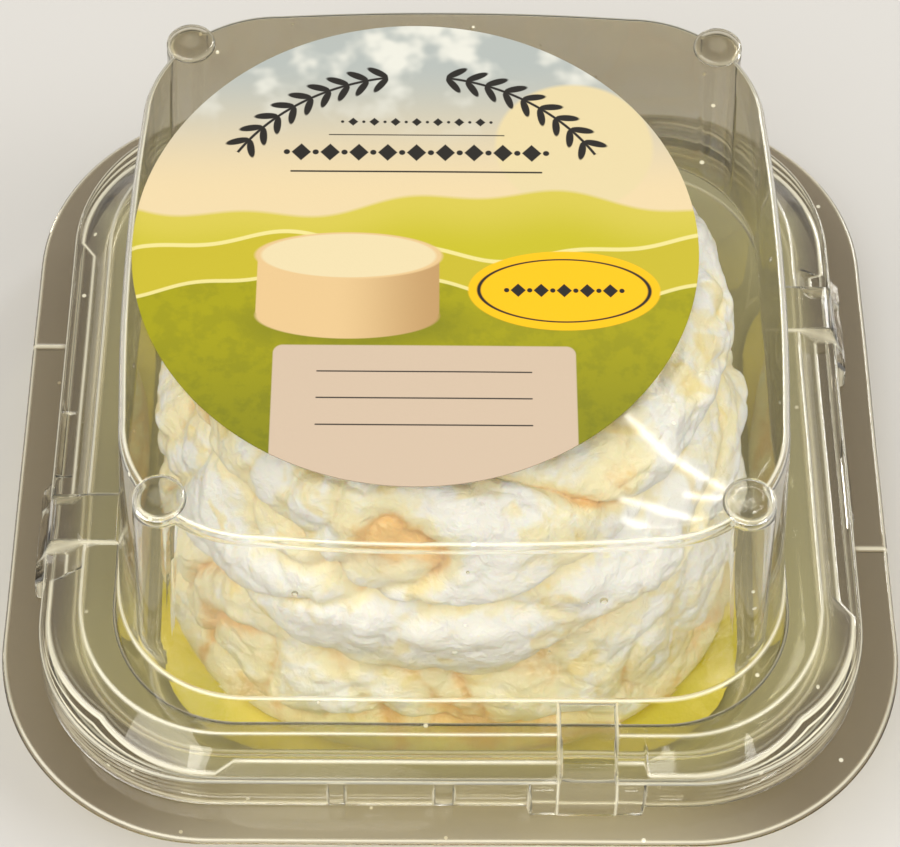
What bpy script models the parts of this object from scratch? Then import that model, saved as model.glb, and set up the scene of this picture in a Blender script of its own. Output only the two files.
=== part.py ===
"""A small chabichou goat cheese in its shut, clear thermoformed pack.

Metres, +Z up, front towards -Y. The origin is under the middle of the tray.
The pack is a tray with a wide flange, a lid that snaps over the tray's raised
rim, and a round label on the lid. The cheese stands inside on a thin mat.
"""

import math

import bmesh
import bpy
from mathutils import Matrix, Vector, noise

MM = 0.001

# Driving dimensions of the pack
SHEET = 0.5 * MM                  # wall of the tray and of the lid
GAP = 0.35 * MM                   # clearance between pieces that touch
FLANGE_HALF = 50.0 * MM           # half the width of the tray's flange
FLANGE_CORNER = 24.1 * MM
FLANGE_TOP = 12.5 * MM            # height of the flange above the table
RIM_HALF = 45.3 * MM              # outer top edge of the lid's closure ring
RIM_TOP = 5.0 * MM                # ring above the flange
SHELF_HALF = 40.7 * MM            # outer edge of the shelf round the dome
SHELF_TOP = 7.4 * MM              # shelf above the flange
DOME_FOOT_HALF = 36.5 * MM
DOME_TOP_HALF = 34.0 * MM
DOME_TOP = 36.8 * MM              # flat top of the lid above the flange
DOME_CORNER = 14.5 * MM
DOME_BOW = 0.7 * MM               # how far a dome side swells at its middle
BASIN_FLOOR_HALF = 34.6 * MM
BASIN_TOP_HALF = 37.3 * MM

# Corner pillars of the dome and snap lugs of the ring
PILLAR_RADIUS = 2.7 * MM
PILLAR_TOP_PLACE = 29.2 * MM
PILLAR_FOOT_PLACE = 31.1 * MM
PILLAR_RISE = 0.6 * MM            # boss above the flat top
PILLAR_CHAMFER = 0.4 * MM
LUG_WIDTH = 6.3 * MM
LUG_PLACE = 14.5 * MM             # along each side, the same way round
LUG_REACH = 47.0 * MM             # at its foot
LUG_TOP_REACH = 44.6 * MM
LUG_RISE = 0.4 * MM               # lug above the shelf

# Label, mat and cheese
LABEL_RADIUS = 29.8 * MM
LABEL_PLACE = (-4.1 * MM, 2.0 * MM)
LABEL_THICKNESS = 0.3 * MM
MAT_HALF = 33.8 * MM
MAT_CORNER = 15.0 * MM
MAT_THICKNESS = 0.4 * MM
CHEESE_HEIGHT = 44.0 * MM
CHEESE_BASE_RADIUS = 35.1 * MM
CHEESE_WAIST_RADIUS = 33.4 * MM   # at CHEESE_WAIST_LEVEL
CHEESE_WAIST_LEVEL = 26.0 * MM
CHEESE_TOP_RADIUS = 28.6 * MM     # where the shoulder starts to round
CHEESE_SHOULDER = 4.5 * MM        # height of the rounded shoulder
FOOT_ROUND = 3.0 * MM
FOOT_SQUARENESS = 0.07            # how far the foot fills the basin's corners
TOP_SQUARENESS = 0.025

# Folds of the rind
FOLD_SPACING = 12.0 * MM          # from one fold to the next
FOLD_DEPTH = 2.0 * MM
CREASE_SHARPNESS = 7.0
LUMP_SPACING = 26.0 * MM
LUMP_HEIGHT = 1.2 * MM
LUMP_MEAN = 0.25
LUMP_SEED = Vector((3.1, 7.4, 1.9))
ROLL_START = 4.0 * MM             # level of the lowest crease
ROLL_HEIGHT = 15.5 * MM
ROLL_DEPTH = 3.0 * MM
ROLL_SAG = 0.66                   # below 1, a roll is widest under its middle
ROLL_SWAY = 9.0 * MM
ROLL_SWAY_SPACING = 34.0 * MM
ROLL_SEED = Vector((0.6, 4.2, 8.3))
NOISE_SEED = 1796019378           # start of the noise that bends the folds

# Fineness of the meshes
ARC_STEPS = 8
SIDE_STEPS = 4
CHEESE_TURNS = 84
CHEESE_ROWS = 32
TOP_ROWS = 9
LABEL_SIDES = 72
PILLAR_SIDES = 20


def clear_scene():
    """Remove whatever the scene holds."""
    for item in list(bpy.data.objects):
        bpy.data.objects.remove(item, do_unlink=True)


def make_collection(name):
    """Add a collection to the scene."""
    collection = bpy.data.collections.new(name)
    bpy.context.scene.collection.children.link(collection)
    return collection


def make_material(name, colour, roughness, alpha=1.0):
    """Make a Principled material of one colour."""
    material = bpy.data.materials.new(name)
    material.use_nodes = True
    shader = material.node_tree.nodes["Principled BSDF"]
    shader.inputs["Base Color"].default_value = (*colour, 1.0)
    shader.inputs["Roughness"].default_value = roughness
    shader.inputs["Metallic"].default_value = 0.0
    shader.inputs["Alpha"].default_value = alpha
    material.diffuse_color = (*colour, alpha)
    return material


def make_object(name, bm, collection, material=None):
    """Turn a bmesh into an object of the collection."""
    mesh = bpy.data.meshes.new(name)
    bm.to_mesh(mesh)
    bm.free()
    item = bpy.data.objects.new(name, mesh)
    collection.objects.link(item)
    if material:
        mesh.materials.append(material)
    return item


def rounded_square(half, corner, bow=0.0):
    """Points of a square with round corners, anticlockwise from the +X side.

    Each side swells by bow at its middle.
    """
    points = []
    for quarter in range(4):
        turn = Matrix.Rotation(math.radians(90.0) * quarter, 2)
        for step in range(SIDE_STEPS):
            along = -1.0 + 2.0 * step / SIDE_STEPS
            swell = bow * (1.0 - along * along)
            points.append(turn @ Vector((half + swell, along * (half - corner))))
        for step in range(ARC_STEPS):
            angle = math.radians(90.0) * step / ARC_STEPS
            x = half - corner + corner * math.cos(angle)
            y = half - corner + corner * math.sin(angle)
            points.append(turn @ Vector((x, y)))
    return points


def place_ring(ring, level):
    """Put a ring of vertices on one level of a profile."""
    half, corner, height, bow = level
    for vert, point in zip(ring, rounded_square(half, corner, bow)):
        vert.co = Vector((point.x, point.y, height))


def loft_levels(levels):
    """Open surface that runs from a flat middle outwards through the levels.

    Each level is (half width, corner radius, height, bow). The middle is one
    face, and each next ring is extruded from the edge of the last one.
    """
    bm = bmesh.new()
    count = 4 * (ARC_STEPS + SIDE_STEPS)
    made = bmesh.ops.create_circle(bm, cap_ends=True, segments=count, radius=1.0)
    ring = made["verts"]
    place_ring(ring, levels[0])
    edges = [bm.edges.get((ring[i], ring[(i + 1) % count])) for i in range(count)]
    for level in levels[1:]:
        grown = bmesh.ops.extrude_edge_only(bm, edges=edges)["geom"]
        fresh = {item for item in grown if isinstance(item, bmesh.types.BMVert)}
        outer = []
        for vert in ring:
            linked = [edge.other_vert(vert) for edge in vert.link_edges]
            outer.append(next(other for other in linked if other in fresh))
        ring = outer
        place_ring(ring, level)
        edges = [bm.edges.get((ring[i], ring[(i + 1) % count])) for i in range(count)]
    bmesh.ops.recalc_face_normals(bm, faces=bm.faces)
    middle = max(bm.faces, key=lambda face: len(face.verts))
    if middle.normal.z < 0.0:
        bmesh.ops.reverse_faces(bm, faces=bm.faces)
    return bm


def add_wall(item):
    """Give an open surface the wall of the plastic sheet, on its under side."""
    solidify = item.modifiers.new("wall", "SOLIDIFY")
    solidify.thickness = SHEET
    solidify.offset = -1.0
    solidify.use_even_offset = True


def tray_levels():
    """Inner, upper surface of the tray: floor, basin, raised rim and flange."""
    top = FLANGE_TOP
    rim = RIM_HALF - SHEET - GAP
    inner = BASIN_TOP_HALF
    return [
        (BASIN_FLOOR_HALF - 1.2 * MM, 13.0 * MM, SHEET, 0.0),
        (BASIN_FLOOR_HALF, 13.6 * MM, 0.4 * MM + SHEET, 0.0),
        (BASIN_FLOOR_HALF + 0.6 * MM, 13.8 * MM, 1.5 * MM + SHEET, 0.0),
        (inner - 0.3 * MM, 14.4 * MM, top + 2.5 * MM, 0.0),
        (inner + 0.2 * MM, 14.6 * MM, top + 3.2 * MM, 0.0),
        (inner + 3.4 * MM, 16.6 * MM, top + 3.4 * MM, 0.0),
        (inner + 4.2 * MM, 17.2 * MM, top + 4.0 * MM, 0.0),
        (rim - 0.5 * MM, 19.2 * MM, top + 4.0 * MM, 0.0),
        (rim, 19.6 * MM, top + 3.5 * MM, 0.0),
        (rim + 0.4 * MM, 20.0 * MM, top + 0.3 * MM, 0.0),
        (rim + 0.7 * MM, 20.3 * MM, top, 0.0),
        (FLANGE_HALF, FLANGE_CORNER, top, 0.0),
    ]


def lid_levels():
    """Outer surface of the lid: flat top, dome, shelf and closure ring."""
    base = FLANGE_TOP
    dome = DOME_TOP_HALF
    shelf = base + SHELF_TOP
    return [
        (dome - 1.3 * MM, DOME_CORNER - 1.3 * MM, base + DOME_TOP, DOME_BOW),
        (dome - 0.4 * MM, DOME_CORNER - 0.4 * MM, base + DOME_TOP - 0.4 * MM, DOME_BOW),
        (dome, DOME_CORNER, base + DOME_TOP - 1.4 * MM, DOME_BOW),
        (DOME_FOOT_HALF - 0.4 * MM, DOME_CORNER, shelf + 1.0 * MM, DOME_BOW * 0.3),
        (DOME_FOOT_HALF + 0.3 * MM, DOME_CORNER, shelf, 0.0),
        (SHELF_HALF - 0.4 * MM, 16.2 * MM, shelf, 0.0),
        (SHELF_HALF + 0.3 * MM, 16.7 * MM, shelf - 0.5 * MM, 0.0),
        (RIM_HALF - 2.6 * MM, 17.6 * MM, base + RIM_TOP + 0.3 * MM, 0.0),
        (RIM_HALF - 2.2 * MM, 18.0 * MM, base + RIM_TOP, 0.0),
        (RIM_HALF - 0.5 * MM, 19.5 * MM, base + RIM_TOP, 0.0),
        (RIM_HALF, 20.0 * MM, base + RIM_TOP - 0.5 * MM, 0.0),
        (RIM_HALF + 0.45 * MM, 20.4 * MM, base + GAP, 0.0),
    ]


def make_pillar(name, corner, collection):
    """Sloping round pillar in one corner of the dome, with a boss on top."""
    foot_level = FLANGE_TOP + SHELF_TOP - SHEET
    top_level = FLANGE_TOP + DOME_TOP + PILLAR_RISE
    foot = Vector((PILLAR_FOOT_PLACE, PILLAR_FOOT_PLACE, foot_level))
    head = Vector((PILLAR_TOP_PLACE, PILLAR_TOP_PLACE, top_level))
    bm = bmesh.new()
    made = bmesh.ops.create_cone(
        bm, cap_ends=True, segments=PILLAR_SIDES,
        radius1=PILLAR_RADIUS, radius2=PILLAR_RADIUS, depth=1.0,
    )
    for vert in made["verts"]:
        centre = head if vert.co.z > 0.0 else foot
        vert.co = centre + Vector((vert.co.x, vert.co.y, 0.0))
    chamfer_level = Vector((0.0, 0.0, top_level - PILLAR_CHAMFER))
    bmesh.ops.bisect_plane(
        bm, geom=bm.verts[:] + bm.edges[:] + bm.faces[:], dist=0.001 * MM,
        plane_co=chamfer_level, plane_no=(0.0, 0.0, 1.0),
    )
    for vert in bm.verts:
        if vert.co.z > top_level - PILLAR_CHAMFER / 2.0:
            vert.co += (head - vert.co) * PILLAR_CHAMFER / PILLAR_RADIUS
    bmesh.ops.rotate(
        bm, verts=bm.verts, cent=(0.0, 0.0, 0.0),
        matrix=Matrix.Rotation(math.radians(90.0) * corner, 3, "Z"),
    )
    return make_object(name, bm, collection)


def lug_outline():
    """Outline of a snap lug in a plane across the ring: out from the centre, up.

    Its under side runs inside the lid's own sheet, so it adds only what stands above.
    """
    top = FLANGE_TOP + SHELF_TOP + LUG_RISE
    shelf = FLANGE_TOP + SHELF_TOP - SHEET / 2.0
    ring = FLANGE_TOP + RIM_TOP - SHEET / 2.0
    foot = FLANGE_TOP + GAP + 0.2 * MM
    start = DOME_FOOT_HALF - 0.2 * MM
    return [
        (start, top), (LUG_TOP_REACH, top), (LUG_REACH, foot),
        (RIM_HALF + 0.2 * MM, foot), (RIM_HALF - 0.2 * MM, ring - 0.3 * MM),
        (RIM_HALF - 0.6 * MM, ring), (RIM_HALF - 2.4 * MM, ring),
        (SHELF_HALF - 0.2 * MM, shelf), (start, shelf),
    ]


def make_lug(name, side, collection):
    """Snap lug that bridges the shelf and the closure ring on one side."""
    near = LUG_PLACE - LUG_WIDTH / 2.0
    bm = bmesh.new()
    verts = [bm.verts.new((out, near, up)) for out, up in lug_outline()]
    bm.faces.new(verts)
    grown = bmesh.ops.extrude_face_region(bm, geom=bm.faces[:])["geom"]
    far = [item for item in grown if isinstance(item, bmesh.types.BMVert)]
    bmesh.ops.translate(bm, vec=(0.0, LUG_WIDTH, 0.0), verts=far)
    bmesh.ops.recalc_face_normals(bm, faces=bm.faces)
    bmesh.ops.rotate(
        bm, verts=bm.verts, cent=(0.0, 0.0, 0.0),
        matrix=Matrix.Rotation(math.radians(90.0) * side, 3, "Z"),
    )
    return make_object(name, bm, collection)


def join_to(item, additions):
    """Join a collection of shapes to an item with one Boolean union."""
    union = item.modifiers.new("join", "BOOLEAN")
    union.operation = "UNION"
    union.operand_type = "COLLECTION"
    union.collection = additions
    union.solver = "EXACT"


def make_tray(collection, material):
    """Clear tray with its basin, raised rim and wide flange."""
    tray = make_object("tray", loft_levels(tray_levels()), collection, material)
    add_wall(tray)
    return tray


def make_lid(collection, helpers, material):
    """Clear lid with its dome, corner pillars, closure ring and snap lugs."""
    lid = make_object("lid", loft_levels(lid_levels()), collection, material)
    add_wall(lid)
    additions = bpy.data.collections.new("lid additions")
    helpers.children.link(additions)
    for turn in range(4):
        make_pillar(f"pillar_{turn}", turn, additions)
        make_lug(f"lug_{turn}", turn, additions)
    for item in additions.objects:
        item.hide_render = True
        item.display_type = "WIRE"
    join_to(lid, additions)
    return lid


def make_label(collection, material):
    """Round paper label on the flat top of the lid."""
    bm = bmesh.new()
    bmesh.ops.create_cone(
        bm, cap_ends=True, segments=LABEL_SIDES,
        radius1=LABEL_RADIUS, radius2=LABEL_RADIUS, depth=LABEL_THICKNESS,
    )
    height = FLANGE_TOP + DOME_TOP + GAP + LABEL_THICKNESS / 2.0
    bmesh.ops.translate(bm, vec=(*LABEL_PLACE, height), verts=bm.verts)
    return make_object("label", bm, collection, material)


def make_mat(collection, material):
    """Thin mat on the floor of the tray, under the cheese."""
    low = SHEET + GAP
    bm = loft_levels([
        (MAT_HALF - 1.0 * MM, MAT_CORNER, low + MAT_THICKNESS, 0.0),
        (MAT_HALF, MAT_CORNER, low + MAT_THICKNESS, 0.0),
    ])
    mat = make_object("mat", bm, collection, material)
    solidify = mat.modifiers.new("sheet", "SOLIDIFY")
    solidify.thickness = MAT_THICKNESS
    solidify.offset = -1.0
    return mat


def smooth_blend(start, end, share):
    """Value between start and end that leaves and arrives level."""
    share = min(max(share, 0.0), 1.0)
    return start + (end - start) * share * share * (3.0 - 2.0 * share)


def cheese_radius(height):
    """Radius of the bare cheese at a height above its own foot."""
    if height < CHEESE_WAIST_LEVEL:
        radius = smooth_blend(CHEESE_BASE_RADIUS, CHEESE_WAIST_RADIUS, height / CHEESE_WAIST_LEVEL)
    else:
        rise = CHEESE_HEIGHT - CHEESE_WAIST_LEVEL
        share = (height - CHEESE_WAIST_LEVEL) / rise
        radius = CHEESE_WAIST_RADIUS + (CHEESE_TOP_RADIUS - CHEESE_WAIST_RADIUS) * share
    if height < FOOT_ROUND:
        lift = 1.0 - height / FOOT_ROUND
        radius -= FOOT_ROUND * 0.5 * (1.0 - math.sqrt(max(0.0, 1.0 - lift * lift)))
    shoulder = CHEESE_HEIGHT - CHEESE_SHOULDER
    if height > shoulder:
        lift = (height - shoulder) / CHEESE_SHOULDER
        radius -= CHEESE_SHOULDER * (1.0 - math.sqrt(max(0.0, 1.0 - lift * lift)))
    return radius


def squareness(point):
    """How much wider than round the cheese is at a point's bearing and height."""
    bearing = math.atan2(point.y, point.x)
    share = point.z / CHEESE_HEIGHT
    most = FOOT_SQUARENESS + (TOP_SQUARENESS - FOOT_SQUARENESS) * share
    return 1.0 + most * (1.0 - math.cos(4.0 * bearing)) / 2.0


def rind_offset(point):
    """How far the rind lies from the bare form at a point.

    Slumped rolls run round the cheese, each widest near its lower edge, with
    a sharp crease under it. Smaller folds and broad lumps cross them.
    """
    warp = noise.noise_vector(point / LUMP_SPACING)
    lump = noise.noise(point / LUMP_SPACING + LUMP_SEED)
    fold = abs(noise.noise(point / FOLD_SPACING + 0.9 * warp))
    crease = math.exp(-fold * CREASE_SHARPNESS)
    sway = ROLL_SWAY * noise.noise(point / ROLL_SWAY_SPACING + ROLL_SEED)
    phase = (point.z - ROLL_START + sway) / ROLL_HEIGHT
    share = phase - math.floor(phase)
    roll = 1.0 - math.sin(math.pi * share ** ROLL_SAG)
    return LUMP_HEIGHT * (lump - LUMP_MEAN) - FOLD_DEPTH * crease - ROLL_DEPTH * roll * roll


def cheese_profile():
    """Points of the cheese's outline, from the middle of its foot to its top."""
    points = [Vector((CHEESE_BASE_RADIUS * 0.5, 0.0, 0.0))]
    for row in range(CHEESE_ROWS + 1):
        height = CHEESE_HEIGHT * row / CHEESE_ROWS
        points.append(Vector((cheese_radius(height), 0.0, height)))
    rim = points[-1].x
    for row in range(1, TOP_ROWS):
        points.append(Vector((rim * (1.0 - row / TOP_ROWS), 0.0, CHEESE_HEIGHT)))
    return points


def make_cheese(collection, material):
    """Squat cone of goat cheese with a folded rind."""
    bm = bmesh.new()
    profile = cheese_profile()
    verts = [bm.verts.new(point) for point in profile]
    edges = [bm.edges.new(pair) for pair in zip(verts, verts[1:])]
    bmesh.ops.spin(
        bm, geom=verts + edges, cent=(0.0, 0.0, 0.0), axis=(0.0, 0.0, 1.0),
        angle=math.radians(360.0), steps=CHEESE_TURNS, use_merge=True,
    )
    bmesh.ops.remove_doubles(bm, verts=bm.verts, dist=0.01 * MM)
    open_edges = [edge for edge in bm.edges if edge.is_boundary]
    bmesh.ops.holes_fill(bm, edges=open_edges, sides=0)
    bmesh.ops.recalc_face_normals(bm, faces=bm.faces)
    bm.normal_update()
    outward = {vert: vert.normal.copy() for vert in bm.verts}
    for vert in bm.verts:
        foot = smooth_blend(0.0, 1.0, vert.co.z / (3.0 * FOOT_ROUND))
        move = outward[vert] * rind_offset(vert.co) * foot
        wider = squareness(vert.co)
        vert.co = Vector((vert.co.x * wider, vert.co.y * wider, vert.co.z)) + move
    foot_level = SHEET + GAP + MAT_THICKNESS + GAP
    bmesh.ops.translate(bm, vec=(0.0, 0.0, foot_level), verts=bm.verts)
    cheese = make_object("cheese", bm, collection, material)
    cheese.data.shade_smooth()
    return cheese


def main():
    """Build the pack and its cheese."""
    noise.seed_set(NOISE_SEED)
    clear_scene()
    parts = make_collection("chabichou in a clear pack")
    helpers = make_collection("helpers")
    clear = make_material("clear plastic", (0.86, 0.86, 0.80), 0.12, alpha=0.3)
    rind = make_material("goat rind", (0.86, 0.78, 0.62), 0.55)
    paper = make_material("label paper", (0.80, 0.72, 0.45), 0.45)
    green = make_material("mat paper", (0.62, 0.56, 0.14), 0.6)
    make_tray(parts, clear)
    make_lid(parts, helpers, clear)
    make_label(parts, paper)
    make_mat(parts, green)
    make_cheese(parts, rind)


main()
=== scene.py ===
"""Looks of a small chabichou goat cheese in its shut, clear pack.

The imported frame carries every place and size. Clear moulded sheets replace the
plain tray and lid, and a folded rind, a printed label and a damp mat replace the
plain cheese, label and mat. Lengths are metres, +Z up, front towards -Y.
"""

import logging
import math
import random
from bisect import bisect_right
from collections.abc import Iterator, Sequence
from contextlib import contextmanager
from dataclasses import dataclass, field, replace
from enum import Enum
from typing import Any

import bmesh
import bpy
from mathutils import Matrix, Quaternion, Vector, noise


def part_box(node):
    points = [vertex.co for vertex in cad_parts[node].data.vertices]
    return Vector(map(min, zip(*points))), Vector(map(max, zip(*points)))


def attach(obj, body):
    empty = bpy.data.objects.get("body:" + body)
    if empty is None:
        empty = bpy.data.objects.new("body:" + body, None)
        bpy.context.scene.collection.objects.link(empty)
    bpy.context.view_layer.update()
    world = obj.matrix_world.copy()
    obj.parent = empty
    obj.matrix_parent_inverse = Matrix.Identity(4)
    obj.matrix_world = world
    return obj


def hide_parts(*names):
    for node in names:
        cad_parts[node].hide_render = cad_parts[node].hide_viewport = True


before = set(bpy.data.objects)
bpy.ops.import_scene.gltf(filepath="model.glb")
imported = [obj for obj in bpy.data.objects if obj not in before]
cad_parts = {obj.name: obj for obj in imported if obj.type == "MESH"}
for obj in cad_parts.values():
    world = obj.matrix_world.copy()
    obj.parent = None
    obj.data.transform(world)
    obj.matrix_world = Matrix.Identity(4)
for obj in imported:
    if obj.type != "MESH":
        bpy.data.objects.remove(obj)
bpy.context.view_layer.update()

MM = 0.001
BODY = "root"
LOG = logging.getLogger("chabichou")
NOISE_SEED = 1796019378

Colour = tuple[float, float, float]
Socket = bpy.types.NodeSocket


def from_screen(red: int, green: int, blue: int) -> Colour:
    """Turn a colour as a screen shows it into the linear one that shaders take.

    Args:
        red: Red from 0 to 255.
        green: Green from 0 to 255.
        blue: Blue from 0 to 255.

    Returns:
        The linear colour.
    """
    def linear(value: int) -> float:
        """Linear value of one channel."""
        share = value / 255.0
        return share / 12.92 if share <= 0.04045 else ((share + 0.055) / 1.055) ** 2.4

    return (linear(red), linear(green), linear(blue))


def smooth_step(low: float, high: float, value: float) -> float:
    """Share from 0 at low to 1 at high, level at both ends.

    Args:
        low: Value that gives 0.
        high: Value that gives 1.
        value: The value to place between them.

    Returns:
        The share.
    """
    share = min(max((value - low) / (high - low), 0.0), 1.0)
    return share * share * (3.0 - 2.0 * share)


def deselect_all() -> None:
    """Leave nothing selected, so that an operator acts only on what comes next."""
    for item in bpy.context.selected_objects:
        item.select_set(False)


def pick(item: bpy.types.Object) -> None:
    """Select one object alone and make it the active one."""
    deselect_all()
    item.select_set(True)
    bpy.context.view_layer.objects.active = item


@contextmanager
def editing(item: bpy.types.Object) -> Iterator[bmesh.types.BMesh]:
    """Hold an object in edit mode.

    Args:
        item: The mesh object to edit.

    Yields:
        The object's edit mesh.
    """
    pick(item)
    bpy.ops.object.mode_set(mode="EDIT")
    yield bmesh.from_edit_mesh(item.data)
    bmesh.update_edit_mesh(item.data)
    bpy.ops.object.mode_set(mode="OBJECT")


def apply_modifiers(item: bpy.types.Object) -> None:
    """Apply every modifier of an object, in order."""
    pick(item)
    for modifier in list(item.modifiers):
        bpy.ops.object.modifier_apply(modifier=modifier.name)


def add_wall(item: bpy.types.Object, thickness: float) -> None:
    """Give an open sheet its wall, on its under side, and apply it.

    Args:
        item: The open sheet.
        thickness: Thickness of the wall.
    """
    wall = item.modifiers.new("wall", "SOLIDIFY")
    wall.thickness = thickness
    wall.offset = -1.0
    wall.use_even_offset = False
    apply_modifiers(item)


def shade(item: bpy.types.Object, angle: float = 40.0) -> None:
    """Shade a piece smooth, apart from edges sharper than an angle in degrees."""
    pick(item)
    bpy.ops.object.shade_smooth_by_angle(angle=math.radians(angle))


def face_up(item: bpy.types.Object) -> None:
    """Turn an open sheet's faces so that its largest one looks up."""
    with editing(item) as mesh:
        bpy.ops.mesh.select_all(action="SELECT")
        bpy.ops.mesh.normals_make_consistent(inside=False)
        largest = max(mesh.faces, key=lambda face: face.calc_area())
        if largest.normal.z < 0.0:
            bpy.ops.mesh.flip_normals()


def hand_over(item: bpy.types.Object, node: str | None = None) -> None:
    """Let a finished piece ride with the pack and report it.

    Args:
        item: The finished piece.
        node: CAD node that the piece stands for, if it replaces one.
    """
    item.data.name = item.name
    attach(item, BODY)
    if node:
        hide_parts(node)
    LOG.info("%s: %d faces", item.name, len(item.data.polygons))


class Painter:
    """Builds the nodes of one material with short calls."""

    def __init__(self, name: str) -> None:
        """Start an empty material."""
        self.material = bpy.data.materials.new(name)
        self.material.use_nodes = True
        self.nodes = self.material.node_tree.nodes
        self.links = self.material.node_tree.links
        self.nodes.clear()
        self.output = self.nodes.new("ShaderNodeOutputMaterial")

    def put(self, socket: Socket, value: Any) -> None:
        """Link a socket to another one, or set its value.

        Args:
            socket: The input to feed.
            value: A socket, a number, a vector or a colour.
        """
        if isinstance(value, bpy.types.NodeSocket):
            self.links.new(value, socket)
        elif socket.type == "RGBA" and len(value) == 3:
            socket.default_value = (*value, 1.0)
        else:
            socket.default_value = value

    def add(self, kind: str, inputs: dict[str | int, Any] | None = None, **settings: Any) -> bpy.types.Node:
        """Add a node.

        Args:
            kind: The node's type.
            inputs: Values or sockets for its inputs, by name or place.
            **settings: Its own settings.

        Returns:
            The node.
        """
        node = self.nodes.new(kind)
        for name, value in settings.items():
            setattr(node, name, value)
        for place, value in (inputs or {}).items():
            self.put(node.inputs[place], value)
        return node

    def maths(self, operation: str, *values: Any, clamp: bool = False) -> Socket:
        """Work out a number.

        Args:
            operation: Name of the Math node's operation.
            *values: Its operands.
            clamp: Whether the result is kept between 0 and 1.

        Returns:
            The result.
        """
        node = self.add("ShaderNodeMath", dict(enumerate(values)), operation=operation, use_clamp=clamp)
        return node.outputs[0]

    def mix(self, share: Any, first: Any, second: Any, blend: str = "MIX") -> Socket:
        """Mix two colours.

        Args:
            share: How much of the second colour shows.
            first: The first colour.
            second: The second colour.
            blend: Name of the way to mix them.

        Returns:
            The mixed colour.
        """
        node = self.add("ShaderNodeMix", data_type="RGBA", blend_type=blend)
        self.put(node.inputs[0], share)
        self.put(node.inputs[6], first)
        self.put(node.inputs[7], second)
        return node.outputs[2]

    def place(self, centre: Sequence[float] = (0.0, 0.0, 0.0), scale: float = 1.0) -> Socket:
        """Object coordinates about a centre, scaled.

        Args:
            centre: The point that becomes the origin.
            scale: Factor on the coordinates.

        Returns:
            The vector.
        """
        own = self.add("ShaderNodeTexCoord").outputs["Object"]
        moved = self.add("ShaderNodeVectorMath", {0: own, 1: tuple(centre)}, operation="SUBTRACT")
        scaled = self.add("ShaderNodeVectorMath", {0: moved.outputs[0], "Scale": scale}, operation="SCALE")
        return scaled.outputs[0]

    def speckle(self, spacing: float, detail: float = 2.0, roughness: float = 0.5, twist: float = 0.0) -> Socket:
        """Noise on Object coordinates.

        Args:
            spacing: Size of its patches.
            detail: Number of finer layers in it.
            roughness: Strength of those layers.
            twist: How far it is distorted.

        Returns:
            Its value from 0 to 1.
        """
        node = self.add("ShaderNodeTexNoise", {
            "Vector": self.place(), "Scale": 1.0 / spacing, "Detail": detail,
            "Roughness": roughness, "Distortion": twist,
        })
        return node.outputs[0]

    def spread(self, value: Socket, low: float, high: float) -> Socket:
        """Stretch a number so that low gives 0 and high gives 1, smoothly."""
        node = self.add("ShaderNodeMapRange", {0: value, 1: low, 2: high}, interpolation_type="SMOOTHSTEP")
        return node.outputs[0]

    def carried(self, name: str) -> Socket:
        """Number that the mesh carries in an attribute."""
        return self.add("ShaderNodeAttribute", attribute_name=name).outputs["Fac"]

    def bump(self, height: Socket, distance: float, strength: float = 1.0) -> Socket:
        """Normal for a relief.

        Args:
            height: The relief from 0 to 1.
            distance: Its full height.
            strength: Its strength from 0 to 1.

        Returns:
            The normal.
        """
        node = self.add("ShaderNodeBump", {"Height": height, "Distance": distance, "Strength": strength})
        return node.outputs[0]

    def principled(self, **inputs: Any) -> Socket:
        """Principled shader.

        Args:
            **inputs: Its inputs, with an underscore for each space.

        Returns:
            The shader.
        """
        named = {name.replace("_", " "): value for name, value in inputs.items()}
        return self.add("ShaderNodeBsdfPrincipled", named).outputs[0]

    def blend_shaders(self, share: Any, first: Socket, second: Socket) -> Socket:
        """Mix two shaders."""
        return self.add("ShaderNodeMixShader", {0: share, 1: first, 2: second}).outputs[0]

    def finish(self, shader: Socket) -> bpy.types.Material:
        """Send a shader to the output and return the material."""
        self.put(self.output.inputs["Surface"], shader)
        return self.material


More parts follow.
